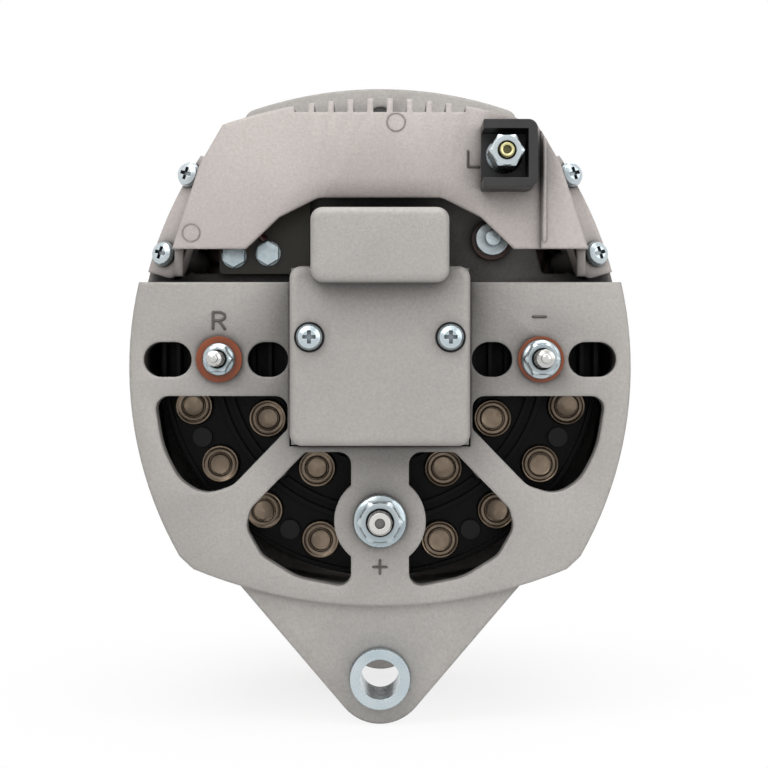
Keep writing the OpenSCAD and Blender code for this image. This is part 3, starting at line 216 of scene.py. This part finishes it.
def plated(name, base, tint, rough=0.24):
    # Zinc or nickel plate: bluish drift, faint handling marks
    g = Finish(name)
    drift = g.noise(g.place(), 60.0, 2.0)
    marks = g.noise(g.place((1, 9, 1)), 420.0, 4.0)
    colour = g.mix(g.spread(drift, 0.35, 0.65, 0, 1), srgb(base), srgb(tint))
    # The colour carries painted shade within the plate reach
    return g.finish(g.paintedShade(colour, shade["plate"], shade["small"]),
                    g.spread(marks, 0.3, 0.7, rough * 0.7, rough * 1.5), 0.9, marks, 0.00003, smallEdge)


def moulded(name, base, light, rough=0.42, grain=1600.0, depth=0.00004, gloss=0.5):
    # Moulded or painted surface: faint tone change and a fine grain
    g = Finish(name)
    at = g.place()
    drift = g.noise(at, 90.0, 4.0)
    skin = g.noise(at, grain, 3.0)
    colour = g.mix(g.spread(drift, 0.35, 0.65, 0, 1), srgb(base), srgb(light))
    # The colour carries painted shade where little sky is open
    return g.finish(g.paintedShade(colour, shade["reach"], shade["small"]),
                    g.spread(skin, 0.3, 0.7, rough * 0.85, rough * 1.15), 0.0, skin, depth, 0.0004, gloss)


def turnedSteel(name, base, rough=0.3):
    # Turned steel: fine rings along the shaft, sin(9000 y)
    g = Finish(name)
    along = g.split(g.place())[1]
    rings = (along * 9000.0).sine() * 0.5 + 0.5
    drift = g.noise(g.place(), 160.0, 3.0)
    colour = g.mix(g.spread(drift, 0.35, 0.65, 0, 1), srgb(base), tuple(c * 0.78 for c in srgb(base)))
    return g.finish(colour, rough + rings * 0.08, 0.9, rings, 0.00002, smallEdge)


def laminations(name, base, light, sheet=0.001):
    # Stacked sheets: fine lines across the shaft, sin(2 pi y / sheet), with varnish over them
    g = Finish(name)
    along = g.split(g.place())[1]
    lines = (along * 2 * np.pi / sheet).sine() * 0.5 + 0.5
    stain = g.noise(g.place(), 45.0, 3.0, 0.5)
    colour = g.mix(g.spread(stain, 0.35, 0.65, 0, 1), srgb(base), srgb(light))
    return g.finish(colour, 0.38 + lines * 0.12, 0.55, lines, 0.0001, smallEdge)


def windings(name, base, light, wire=0.0013):
    # Varnished copper: round wires side by side, |sin(2 pi y / wire)|
    g = Finish(name)
    along = g.split(g.place())[1]
    wires = (along * 2 * np.pi / wire).sine().math("ABSOLUTE")
    drift = g.noise(g.place(), 120.0, 4.0)
    colour = g.mix(g.spread(drift, 0.3, 0.7, 0, 1), srgb(base), srgb(light))
    # Painted shade: the copper is darkened where little sky is open, as deep in the housing
    shadedCopper = g.paintedShade(colour, shade["reach"], shade["cast"])
    return g.finish(shadedCopper, 0.28 + drift * 0.12, 0.5, wires, 0.0003)


finishes = {
    "cast_aluminium": castAluminium("castAluminium", "aeaaa6", "b9b5b1", 0.02),
    "hood_aluminium": castAluminium("hoodAluminium", "c4bcb8", "d0c8c4"),
    "zinc_steel": plated("zincSteel", "b4c2c8", "c9d2d6"),
    "nickel_copper": plated("nickelPlate", "c2c2c0", "d4d3d0", 0.2),
    "yellow_zinc": plated("yellowZinc", "b8a850", "d6cf9a", 0.28),
    "phenolic": moulded("phenolic", "8a3f1c", "a4532a", 0.34),
    "black_plastic": moulded("blackPlastic", "222122", "2c2b2c", 0.42),
    "black_sink": moulded("blackSink", "070708", "0e0e10", 0.3, 900.0, 0.00006, 0.1),
    "diode_cup": plated("diodeCup", "74675a", "8c7d6c", 0.3),
    "black_steel": moulded("blackSteel", "121214", "1c1c1f", 0.3, gloss=0.2),
    "olive_board": moulded("oliveBoard", "4a431f", "5c5428", 0.4),
    "red_lead": moulded("redLead", "8c1a14", "a52a20", 0.35),
    "lamination": laminations("lamination", "585a5e", "66686a"),
    "copper_winding": windings("copperWinding", "7c3c1c", "b4622c"),
    "pole_steel": moulded("poleSteel", "54534f", "68665f", 0.4, 500.0, 0.0001),
    "carbon": moulded("carbon", "2a2929", "383636", 0.5),
    "spring_steel": plated("springSteel", "9a9a96", "b4b4b0", 0.3),
    "slip_copper": turnedSteel("slipCopper", "b87d54", 0.24),
    "bearing_steel": turnedSteel("bearingSteel", "bfc1c4", 0.18),
    "cage_brass": plated("cageBrass", "a08448", "bca05c", 0.3),
    "turned_steel": turnedSteel("turnedSteel", "a4a6a8"),
    "pulley_black": moulded("pulleyBlack", "2b2b2e", "38383c", 0.32),
}
# Painted shade: the raised cast marks get a darker copy of the cast finish, for the shade round their strokes
paintedShadeMark = castAluminium("castMark", "6f6a66", "7a746f")
slotOf = {row["node"]: row["material_slot"] for row in frame["record"]["subparts"]}
for node, thing in frame["nodes"].items():
    thing.data.materials.clear()
    thing.data.materials.append(finishes[slotOf[node]])
print("finishes on", len(frame["nodes"]), "nodes")


def shadeByAngle(piece, angle):
    # Smooth faces, with a sharp line kept where two faces meet at more than the angle
    limit = float(np.radians(angle))
    work = bmesh.new()
    work.from_mesh(piece.data)
    bmesh.ops.recalc_face_normals(work, faces=work.faces[:])
    for face in work.faces:
        face.smooth = True
    for edge in work.edges:
        edge.smooth = len(edge.link_faces) == 2 and edge.calc_face_angle(0) < limit
    work.to_mesh(piece.data)
    work.free()


def meshPiece(name, points, faces, body, finish, smooth=40, skin=None):
    # Faces are rows of point numbers. A skin takes the place of the slot's finish.
    mesh = bpy.data.meshes.new(name)
    mesh.from_pydata(points.tolist(), [], [list(map(int, face)) for face in faces])
    mesh.materials.append(skin or finishes[finish])
    piece = bpy.data.objects.new(name, mesh)
    bpy.context.collection.objects.link(piece)
    shadeByAngle(piece, smooth)
    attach(piece, body)
    return piece


def gridPiece(name, points, body, finish, wrap=(True, False), smooth=40, skin=None):
    # points is rows x columns x 3, in mm, and faces join neighbours.
    # wrap says if the columns and the rows close on themselves; open rows get a face at each end.
    rows, cols = points.shape[:2]
    row, col = np.meshgrid(np.arange(rows - (not wrap[1])), np.arange(cols - (not wrap[0])), indexing="ij")
    here, above = row * cols, (row + 1) % rows * cols
    beside = (col + 1) % cols
    faces = list(np.stack([here + col, here + beside, above + beside, above + col], -1).reshape(-1, 4))
    if not wrap[1]:
        faces += [list(range(cols)), list(range((rows - 1) * cols, rows * cols))]
    return meshPiece(name, points.reshape(-1, 3) * mm, faces, body, finish, smooth, skin)


def aroundY(radius, y, at):
    # Each row goes once round the axis along Y: x = at.x + r sin a, z = at.z + r cos a
    turn = np.linspace(0, 2 * np.pi, radius.shape[1], endpoint=False)
    return np.stack([at[0] + radius * np.sin(turn), y, at[1] + radius * np.cos(turn)], -1)


def lathed(profile, columns):
    # A list of profile tuples as one array for each value, repeated over the columns
    return (np.array(column)[:, None] * np.ones((1, columns)) for column in zip(*profile))


def axisOf(node):
    # The node's box in mm and the x and z of its middle
    low, high = (np.array(corner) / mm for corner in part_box(node))
    return low, high, ((low[0] + high[0]) / 2, (low[2] + high[2]) / 2)


# Castings whose sharp edges are broken, as a copy of the solid with its edges rounded. Radius in mm.
roundedEdges = {
    "rear_housing": {"radius": 1.2, "segments": 3},
    "drive_housing": {"radius": 0.9, "segments": 3},
    "hood": {"radius": 0.55, "segments": 2},
}
sameSpot = 2e-6         # metres, within which two points are one
flatAngle = 0.6         # degrees, below which two faces are one plane
edgeAngle = 40          # degrees, above which an edge is rounded


def roundCopy(node, radius, segments):
    source = frame["nodes"][node]
    mesh = source.data.copy()
    work = bmesh.new()
    work.from_mesh(mesh)
    bmesh.ops.remove_doubles(work, verts=work.verts[:], dist=sameSpot)
    bmesh.ops.dissolve_limit(work, angle_limit=np.radians(flatAngle), verts=work.verts[:],
                             edges=work.edges[:])
    work.to_mesh(mesh)
    work.free()
    piece = bpy.data.objects.new(node + "_rounded", mesh)
    bpy.context.collection.objects.link(piece)
    bevel = piece.modifiers.new("edges", "BEVEL")
    bevel.width = radius * mm
    bevel.segments = segments
    bevel.limit_method = "ANGLE"
    bevel.angle_limit = np.radians(edgeAngle)
    bevel.use_clamp_overlap = True
    bevel.harden_normals = True
    mesh.polygons.foreach_set("use_smooth", [True] * len(mesh.polygons))
    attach(piece, source["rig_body"])
    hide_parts(node)


for node, how in roundedEdges.items():
    roundCopy(node, **how)
    print("rounded", node)

# Studs, in mm: across the thread, its pitch, the nose's share of the radius and its length, the share of a
# hollow end, and the head that starts at the neck and is wider by the flare
insulatedNeck = rearFace + 10.0
studs = {
    "relay_stud": {"across": 5.0, "pitch": 0.8, "nose": 0.52, "noseLength": 2.0, "hollow": 0.0,
                   "neck": insulatedNeck, "head": 3.0, "flare": 2.0},
    "minus_stud": {"across": 6.0, "pitch": 1.0, "nose": 0.5, "noseLength": 2.2, "hollow": 0.0,
                   "neck": insulatedNeck, "head": 3.0, "flare": 2.0},
    "plus_stud": {"across": 8.0, "pitch": 1.25, "nose": 0.9, "noseLength": 0.6, "hollow": 0.42,
                  "neck": -129.0, "head": 17.0, "flare": 2.5},
    "lamp_stud": {"across": 5.0, "pitch": 0.8, "nose": 0.9, "noseLength": 0.6, "hollow": 0.55,
                  "neck": -136.5, "head": 3.0, "flare": 2.0},
}
studTip = {"chamfer": 0.25, "runOut": 0.5, "holeDepth": 2.5, "holeFloor": 2.4, "holeEdge": 0.2}
threadRows = 8          # rows of points in each turn of a thread
threadColumns = 32


def threadedStud(node, across, pitch, nose, noseLength, hollow, neck, head, flare):
    # Thread: r = R - 0.5 pitch tooth, where tooth is the triangle wave of y / pitch - turn
    low, high, at = axisOf(node)
    tip, full = low[1], across / 2
    stations = [(tip, 0.0, 0)]
    if hollow:
        stations = [(tip + studTip["holeDepth"], 0.0, 0), (tip + studTip["holeFloor"], hollow * full, 0),
                    (tip + studTip["holeEdge"], hollow * full, 0)]
    stations += [(tip, nose * full - studTip["chamfer"], 0), (tip + studTip["chamfer"], nose * full, 0),
                 (tip + noseLength, nose * full, 0)]
    threadStart = tip + noseLength + studTip["runOut"]
    stations += [(y, full, 1) for y in np.arange(threadStart, neck, pitch / threadRows)]
    stations += [(neck, full, 0), (neck, full + flare, 0), (neck + head, full + flare, 0),
                 (neck + head, full, 0), (high[1], full, 0), (high[1], 0.0, 0)]
    y, radius, cut = lathed(stations, threadColumns)
    turn = np.linspace(0, 1, threadColumns, endpoint=False)[None, :]
    tooth = np.abs(((y / pitch - turn) % 1.0) * 2 - 1)
    points = aroundY(radius - cut * tooth * pitch * 0.5, y, at)
    piece = gridPiece(node + "_thread", points, frame["nodes"][node]["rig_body"], slotOf[node], smooth=50)
    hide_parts(node)


for node, how in studs.items():
    threadedStud(node, **how)
print("studs threaded")

# Nuts, in mm: across the flats, radius of the bore and of the flange, chamfer; cornerAt in degrees
nuts = {
    "relay_nut": {"across": 8.0, "bore": 2.5, "flange": 5.3, "chamfer": 0.5, "cornerAt": 30},
    "minus_nut": {"across": 10.0, "bore": 3.0, "flange": 6.4, "chamfer": 0.6, "cornerAt": 30},
    "plus_nut": {"across": 13.0, "bore": 4.0, "flange": 8.6, "chamfer": 0.8, "cornerAt": 30},
    "lamp_nut": {"across": 9.9, "bore": 2.5, "flange": 5.9, "chamfer": 0.6, "cornerAt": 30},
    "pulley_nut": {"across": 30.0, "bore": 10.0, "flange": 0.0, "chamfer": 1.6, "cornerAt": 0},
}
nutForm = {"mouthDepth": 0.7, "mouthWidth": 0.55, "bite": 0.05, "faceInset": 0.35, "flangeTop": 1.9}
flangeEdge = [(1.5, 0.5), (1.2, 0.12), (0.9, 0.0), (0.1, 0.0), (0.0, 0.15)]     # above seat, inside rim
nutColumns = 96


def hexNut(node, across, bore, flange, chamfer, cornerAt):
    # Sides: r = the lesser of the corner's radius and flat / cos(angle from the flat's middle)
    low, high, at = axisOf(node)
    top, seat = low[1], high[1]
    corner = across / 2 / np.cos(np.pi / 6)
    inner, face = bore - nutForm["bite"], across / 2 - nutForm["faceInset"]
    rows = [(top + nutForm["mouthDepth"], inner, 0), (top, bore + nutForm["mouthWidth"], 0), (top, face, 0),
            (top + chamfer, corner, 1)]
    if flange:
        rows += [(seat - nutForm["flangeTop"], corner, 1)]
        rows += [(seat - above, flange - inset, 0) for above, inset in flangeEdge]
    else:
        rows += [(seat - chamfer, corner, 1), (seat, face, 0)]
    rows += [(seat, inner, 0)]
    y, radius, isHex = lathed(rows, nutColumns)
    turn = np.linspace(0, 2 * np.pi, nutColumns, endpoint=False)
    flat = across / 2 / np.cos((turn - np.radians(cornerAt)) % (np.pi / 3) - np.pi / 6)
    radius = np.where(isHex > 0, np.minimum(radius, flat), radius)
    piece = gridPiece(node + "_turned", aroundY(radius, y, at), frame["nodes"][node]["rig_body"],
                      slotOf[node], wrap=(True, True), smooth=30)
    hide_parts(node)


for node, how in nuts.items():
    hexNut(node, **how)
print("nuts made")

# Cast marks: a round bead carried along each stroke, half sunk into the face.
# Places are in mm from the shaft's axis.
strokesR = [[(0, 0), (0, 1)],
            [(0, 1), (0.6, 1), (0.95, 0.88), (1, 0.75), (0.95, 0.6), (0.6, 0.5), (0, 0.5)],
            [(0.5, 0.5), (1, 0)]]
marks = {
    "markR": {"at": (-52.3, 11.2), "size": (3.9, 5.5), "finish": "cast_aluminium", "strokes": strokesR},
    "markMinus": {"at": (51.8, 12.5), "size": (4.2, 0.1), "finish": "cast_aluminium",
                  "strokes": [[(0, 0), (1, 0)]]},
    "markPlus": {"at": (0.0, -68.9), "size": (4.4, 4.4), "finish": "cast_aluminium",
                 "strokes": [[(0, 0.5), (1, 0.5)], [(0.5, 0), (0.5, 1)]]},
    "markL": {"at": (30.4, 63.7), "size": (3.6, 5.2), "finish": "hood_aluminium",
              "strokes": [[(0, 1), (0, 0)], [(0, 0), (1, 0)]]},
}
strokeBead = 0.42
strokeStep = 0.4
pinMarks = {
    "pinMarkTop": {"at": (5.2, 75.7), "ring": 2.95},
    "pinMarkLeft": {"at": (-61.4, 39.7), "ring": 2.85},
}
pinBead = 0.22
ringColumns = 48
beadForm = {"columns": 10, "endShare": 0.15, "proud": 0.9}


def bead(path, radius, face, closed=False):
    # Circle of the radius carried along the path in the X-Z plane, drawn in to a point at open ends
    path = np.array(path, float)
    ahead = np.roll(path, -1, 0) - np.roll(path, 1, 0)
    if not closed:
        ahead[0], ahead[-1] = path[1] - path[0], path[-1] - path[-2]
    ahead /= np.linalg.norm(ahead, axis=1)[:, None]
    side = np.stack([-ahead[:, 1], ahead[:, 0]], 1)
    grow = np.full(len(path), radius)
    if not closed:
        path = np.vstack([path[0] - ahead[0] * radius, path, path[-1] + ahead[-1] * radius])
        side = np.vstack([side[0], side, side[-1]])
        grow = np.pad(grow, 1, constant_values=radius * beadForm["endShare"])
    turn = np.linspace(0, 2 * np.pi, beadForm["columns"], endpoint=False)
    across = grow[:, None] * np.cos(turn)
    out = grow[:, None] * np.sin(turn)
    return np.stack([path[:, :1] + side[:, :1] * across, face + out * beadForm["proud"],
                     shaftHeight + path[:, 1:] + side[:, 1:] * across], -1)


def finePath(points, step):
    # The same path with points spread evenly along its length, about a step apart
    points = np.array(points, float)
    length = np.concatenate([[0], np.cumsum(np.linalg.norm(np.diff(points, axis=0), axis=1))])
    spots = np.linspace(0, length[-1], max(2, int(length[-1] / step) + 1))
    return np.stack([np.interp(spots, length, points[:, k]) for k in (0, 1)], 1)


def ringBead(name, at, ring, thick, face, finish):
    # A bead round a circle: x = at.x + r cos a, z = at.z + r sin a
    turn = np.linspace(0, 2 * np.pi, ringColumns, endpoint=False)
    loop = np.array(at) + ring * np.stack([np.cos(turn), np.sin(turn)], 1)
    gridPiece(name, bead(loop, thick, face, True), "housing", finish, (True, True))


for name, mark in marks.items():
    corner = np.array(mark["at"]) - np.array(mark["size"]) / 2
    for number, stroke in enumerate(mark["strokes"]):
        path = finePath(np.array(stroke) * mark["size"] + corner, strokeStep)
        points = bead(path, strokeBead, rearFace)
        # Each stroke wears the darker painted-shade copy of the cast finish
        gridPiece(name + str(number), points, "housing", mark["finish"], skin=paintedShadeMark)
for name, mark in pinMarks.items():
    ringBead(name, mark["at"], mark["ring"], pinBead, rearFace, "hood_aluminium")
print("cast marks made")

# Raised edge of the hood's right step, and round each cover screw a black ring: painted shadow standing in
# for the dark recess it sits in
stepBead = {"x": 53.3, "z": (37.2, 70.0), "bead": 0.85, "face": rearFace - 1.5, "step": 2.0}
stepPath = finePath([(stepBead["x"], z) for z in stepBead["z"]], stepBead["step"])
gridPiece("stepBead", bead(stepPath, stepBead["bead"], stepBead["face"]), "housing", "hood_aluminium")
screwRing = {"x": 22.5, "z": 5.5, "radius": 4.5, "bead": 0.36, "face": -152.1}
for way in (-1, 1):
    ringBead("screwRing" + str(way), (way * screwRing["x"], screwRing["z"]), screwRing["radius"],
             screwRing["bead"], screwRing["face"], "black_steel")

# Centre cover: two shells, in mm from the shaft's axis. Walls end at back, and below padStep at lowBack.
covers = {
    "coverBox": {"x": (-28.9, 28.9), "z": (-29.2, 28.3), "face": -152.0, "back": -131.1, "lowBack": -131.1},
    "coverPad": {"x": (-21.9, 21.9), "z": (22.7, 46.4), "face": -161.0, "back": -117.1, "lowBack": -149.0},
}
coverForm = {"wall": 2.4, "corner": 3.9, "edge": 2.6, "edgeRows": 7, "padStep": 26.5, "leastCorner": 0.4,
             "pole": 0.001}
coverSeat = {"corner": 0.3, "width": 1.8, "back": rearFace + 6.0}


def roundedOutline(low, high, corner, count=10):
    # A quarter circle of the corner's radius in each corner of the rectangle
    middle, half = (low + high) / 2, (high - low) / 2 - corner
    arc = np.linspace(0, np.pi / 2, count)
    quarters = []
    for quarter, way in enumerate(((1, 1), (-1, 1), (-1, -1), (1, -1))):
        angle = arc + quarter * np.pi / 2
        quarters.append(middle + half * way + corner * np.stack([np.cos(angle), np.sin(angle)], 1))
    return np.concatenate(quarters)


def outlineRows(rows):
    # Outlines in the X-Z plane, each at its own y, as one grid of points
    return np.stack([np.stack([flat[:, 0], np.broadcast_to(y, len(flat)), shaftHeight + flat[:, 1]], 1)
                     for flat, y in rows])


def coverCorners(x, z):
    return np.array([x[0], z[0]]), np.array([x[1], z[1]])


def coverShell(name, x, z, face, back, lowBack):
    # The front edge is a quarter circle: inset = R (1 - sin a), y = face + R (1 - cos a)
    low, high = coverCorners(x, z)
    middle, wall, edge = (low + high) / 2, coverForm["wall"], coverForm["edge"]

    def outline(inset):
        return roundedOutline(low + inset, high - inset,
                              max(coverForm["corner"] - inset, coverForm["leastCorner"]))

    def pole(inset):
        return middle + (outline(inset) - middle) * coverForm["pole"]

    ends = np.where(outline(0)[:, 1] > coverForm["padStep"], back, lowBack)
    turn = np.linspace(0, np.pi / 2, coverForm["edgeRows"])
    rows = [(pole(edge), face)]
    rows += [(outline(edge * (1 - np.sin(a))), face + edge * (1 - np.cos(a))) for a in turn]
    rows += [(outline(0), ends), (outline(wall), ends)]
    rows += [(outline(wall), face + wall), (pole(wall), face + wall)]
    return gridPiece(name, outlineRows(rows), "housing", "cast_aluminium", smooth=50)


def seatRing():
    # Seat in the casting, seen past the cover's rounded lower corners: a rectangular ring of the seat's width
    low, high = coverCorners(covers["coverBox"]["x"], covers["coverBox"]["z"])
    outer, inner = (roundedOutline(low + inset, high - inset, coverSeat["corner"])
                    for inset in (0, coverSeat["width"]))
    rows = [(outer, rearFace), (outer, coverSeat["back"]), (inner, coverSeat["back"]), (inner, rearFace)]
    gridPiece("coverSeat", outlineRows(rows), "housing", "cast_aluminium", (True, True))


for name, shape in covers.items():
    shell = coverShell(name, **shape)
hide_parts("rear_cover")
seatRing()

# Diodes, in mm: each lathe profile holds a share of the radius and a depth behind the rim
diodeFace = -116.0
diodeRadius = 6.4
diodeLength = 10.0
diodeColumns = 40
diodes = {
    "diodes_positive": {"side": -1, "profile": [
        (0.0, 0.5), (0.48, 0.5), (0.52, 0.4), (0.55, 0.12), (0.58, 0.02), (0.61, 0.12), (0.65, 0.45),
        (0.78, 0.45), (0.84, 0.2), (0.88, 0.05), (0.92, 0.0), (0.96, 0.1), (0.99, 0.4), (1.0, 0.8)]},
    "diodes_negative": {"side": 1, "profile": [
        (0.0, 0.3), (0.5, 0.3), (0.54, 0.2), (0.58, 0.05), (0.62, 0.25), (0.66, 0.7), (0.8, 0.7),
        (0.85, 0.3), (0.9, 0.05), (0.94, 0.0), (0.98, 0.2), (1.0, 0.6)]},
}
diodeRows = {"outer": {"radius": 65.0, "angles": (195, 214, 233, 252)},
             "inner": {"radius": 43.3, "angles": (209, 240.5)}}


def diodeCup(name, profile, side, radius, angle):
    # Flat centre, thin ring, groove and rolled rim, turned round the cup's own axis
    share, depth = lathed(profile + [(1.0, diodeLength), (0.0, diodeLength)], diodeColumns)
    at = (-side * radius * np.cos(np.radians(angle)), shaftHeight + radius * np.sin(np.radians(angle)))
    points = aroundY(share * diodeRadius, diodeFace + depth, at)
    return gridPiece(name, points, "housing", "diode_cup", smooth=35)


for node, kind in diodes.items():
    for rowName, row in diodeRows.items():
        for number, angle in enumerate(row["angles"]):
            cup = diodeCup(node + rowName + str(number), kind["profile"], kind["side"], row["radius"], angle)
    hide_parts(node)
print("cover and diodes made")

# End turns, in mm: a fat ring whose surface swells over each coil by |sin| of the slot's angle
endTurns = {"coils": 36, "inner": 58.9, "outer": 72.8, "long": 10.8, "swell": 0.9, "lean": 3.0,
            "squareness": 0.6, "sunk": 0.4}
coilColumns = 12
ringRows = 28


def endTurnRing(name, face, way):
    # Section: r and y go with sign(w) |w| ** squareness of the cosine and the sine, a circle made squarer
    around = np.linspace(0, 2 * np.pi, endTurns["coils"] * coilColumns, endpoint=False)[None, :]
    section = np.linspace(0, 2 * np.pi, ringRows, endpoint=False)[:, None]
    wide, tall = (np.sign(wave) * np.abs(wave) ** endTurns["squareness"]
                  for wave in (np.cos(section), np.sin(section)))
    middle = (endTurns["inner"] + endTurns["outer"]) / 2
    half = (endTurns["outer"] - endTurns["inner"]) / 2 - endTurns["swell"]
    deep = (endTurns["long"] - endTurns["swell"]) / 2
    coil = np.abs(np.sin((around * endTurns["coils"] + endTurns["lean"] * np.cos(section)) / 2))
    swell = endTurns["swell"] * coil
    radius = middle + wide * (half + swell)
    y = face + way * (deep + tall * (deep - endTurns["sunk"] + swell / 2))
    points = np.stack([radius * np.sin(around), y, shaftHeight + radius * np.cos(around)], -1)
    return gridPiece(name, points, "housing", "copper_winding", (True, True))


windingLow, windingHigh = (corner.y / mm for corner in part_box("stator_windings"))
rearRing = endTurnRing("rearEndTurns", windingLow + endTurns["long"], -1)
endTurnRing("frontEndTurns", windingHigh - endTurns["long"], 1)
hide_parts("stator_windings")
print("end turns made")

# Camera at the photograph's place: straight along the shaft, a little below it. Place in mm.
camera = {"lens": 92.3, "sensor": 36.0, "at": (1.3, -779.0, 95.6)}
lensData = bpy.data.cameras.new("camera")
lensData.lens = camera["lens"]
lensData.sensor_width = camera["sensor"]
view = bpy.data.objects.new("camera", lensData)
view.location = Vector(camera["at"]) * mm
view.rotation_euler = (np.pi / 2, 0, 0)
bpy.context.collection.objects.link(view)
bpy.context.scene.camera = view

# Soft studio light from boxes above, beside and behind the camera, in metres
lampAim = Vector((0, -0.03, 0.1))
lamps = {
    "keyBox": {"at": (-0.55, -0.9, 0.95), "size": 0.8, "watts": 5.2},
    "fillBox": {"at": (0.8, -0.8, 0.45), "size": 0.8, "watts": 2.4},
    "topBox": {"at": (0.0, -0.25, 1.1), "size": 0.9, "watts": 6.5},
    "backBox": {"at": (0.3, 1.0, 0.7), "size": 0.9, "watts": 6.0},
}
for name, lamp in lamps.items():
    light = bpy.data.lights.new(name, "AREA")
    light.energy = lamp["watts"]
    light.shape = "SQUARE"
    light.size = lamp["size"]
    holder = bpy.data.objects.new(name, light)
    holder.location = lamp["at"]
    holder.rotation_euler = (lampAim - Vector(lamp["at"])).to_track_quat("-Z", "Y").to_euler()
    bpy.context.collection.objects.link(holder)

# Floor, in metres: its tone and grain, how white the camera sees it under the part, and from where all white
floorLook = {"tone": 0.92, "grain": 0.03, "clearest": 0.75, "clearTo": 0.2, "middleY": -0.03}
floorPlace = {"half": 4.0, "below": 0.0002}


def paleFloor(name, tone, grain, clearest, clearTo, middleY):
    # Pale paper under a faint shadow; away from the part the camera, gloss and glass see it as plain white
    g = Finish(name)
    x, y = g.split(g.place())[:2]
    away = g.spread((x * x + (y - middleY) ** 2) ** 0.5, 0, clearTo, clearest, 1)
    seen, gloss, through = g.sightRays()
    white = g.node("ShaderNodeEmission", {}, {"Color": (1, 1, 1, 1), "Strength": 1.0})
    g.finish(g.mix(g.noise(g.place(), 300.0) * grain, (tone,) * 3, (tone * 0.95,) * 3), 0.8)
    sight = (seen * away + gloss + through).clamped()
    mixed = g.node("ShaderNodeMixShader", {}, {0: sight, 1: Wire(g, g.shader.outputs[0]), 2: white})
    g.put(mixed, g.tree.nodes["Material Output"].inputs["Surface"])
    return g.material


floorMesh = bpy.data.meshes.new("floor")
floorCorners = np.array([(-1, -1, 0), (1, -1, 0), (1, 1, 0), (-1, 1, 0)]) * floorPlace["half"]
floorCorners[:, 2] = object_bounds()[0].z - floorPlace["below"]
floorMesh.from_pydata(floorCorners.tolist(), [], [(0, 1, 2, 3)])
floorMesh.materials.append(paleFloor("paleFloor", **floorLook))
floor = bpy.data.objects.new("floor", floorMesh)
bpy.context.collection.objects.link(floor)

# World: white where it is seen, dimmer as a light
worldLight = 0.3
world = bpy.data.worlds.new("studio")
bpy.context.scene.world = world
world.use_nodes = True
sky = Graph(world.node_tree)
seen, gloss, through = sky.sightRays()
background = world.node_tree.nodes["Background"]
background.inputs["Color"].default_value = (1, 1, 1, 1)
sky.put(sky.spread((seen + gloss + through).clamped(), 0, 1, worldLight, 1.0), background.inputs["Strength"])
bpy.context.scene.view_settings.view_transform = "Standard"
print("lights and floor ready")
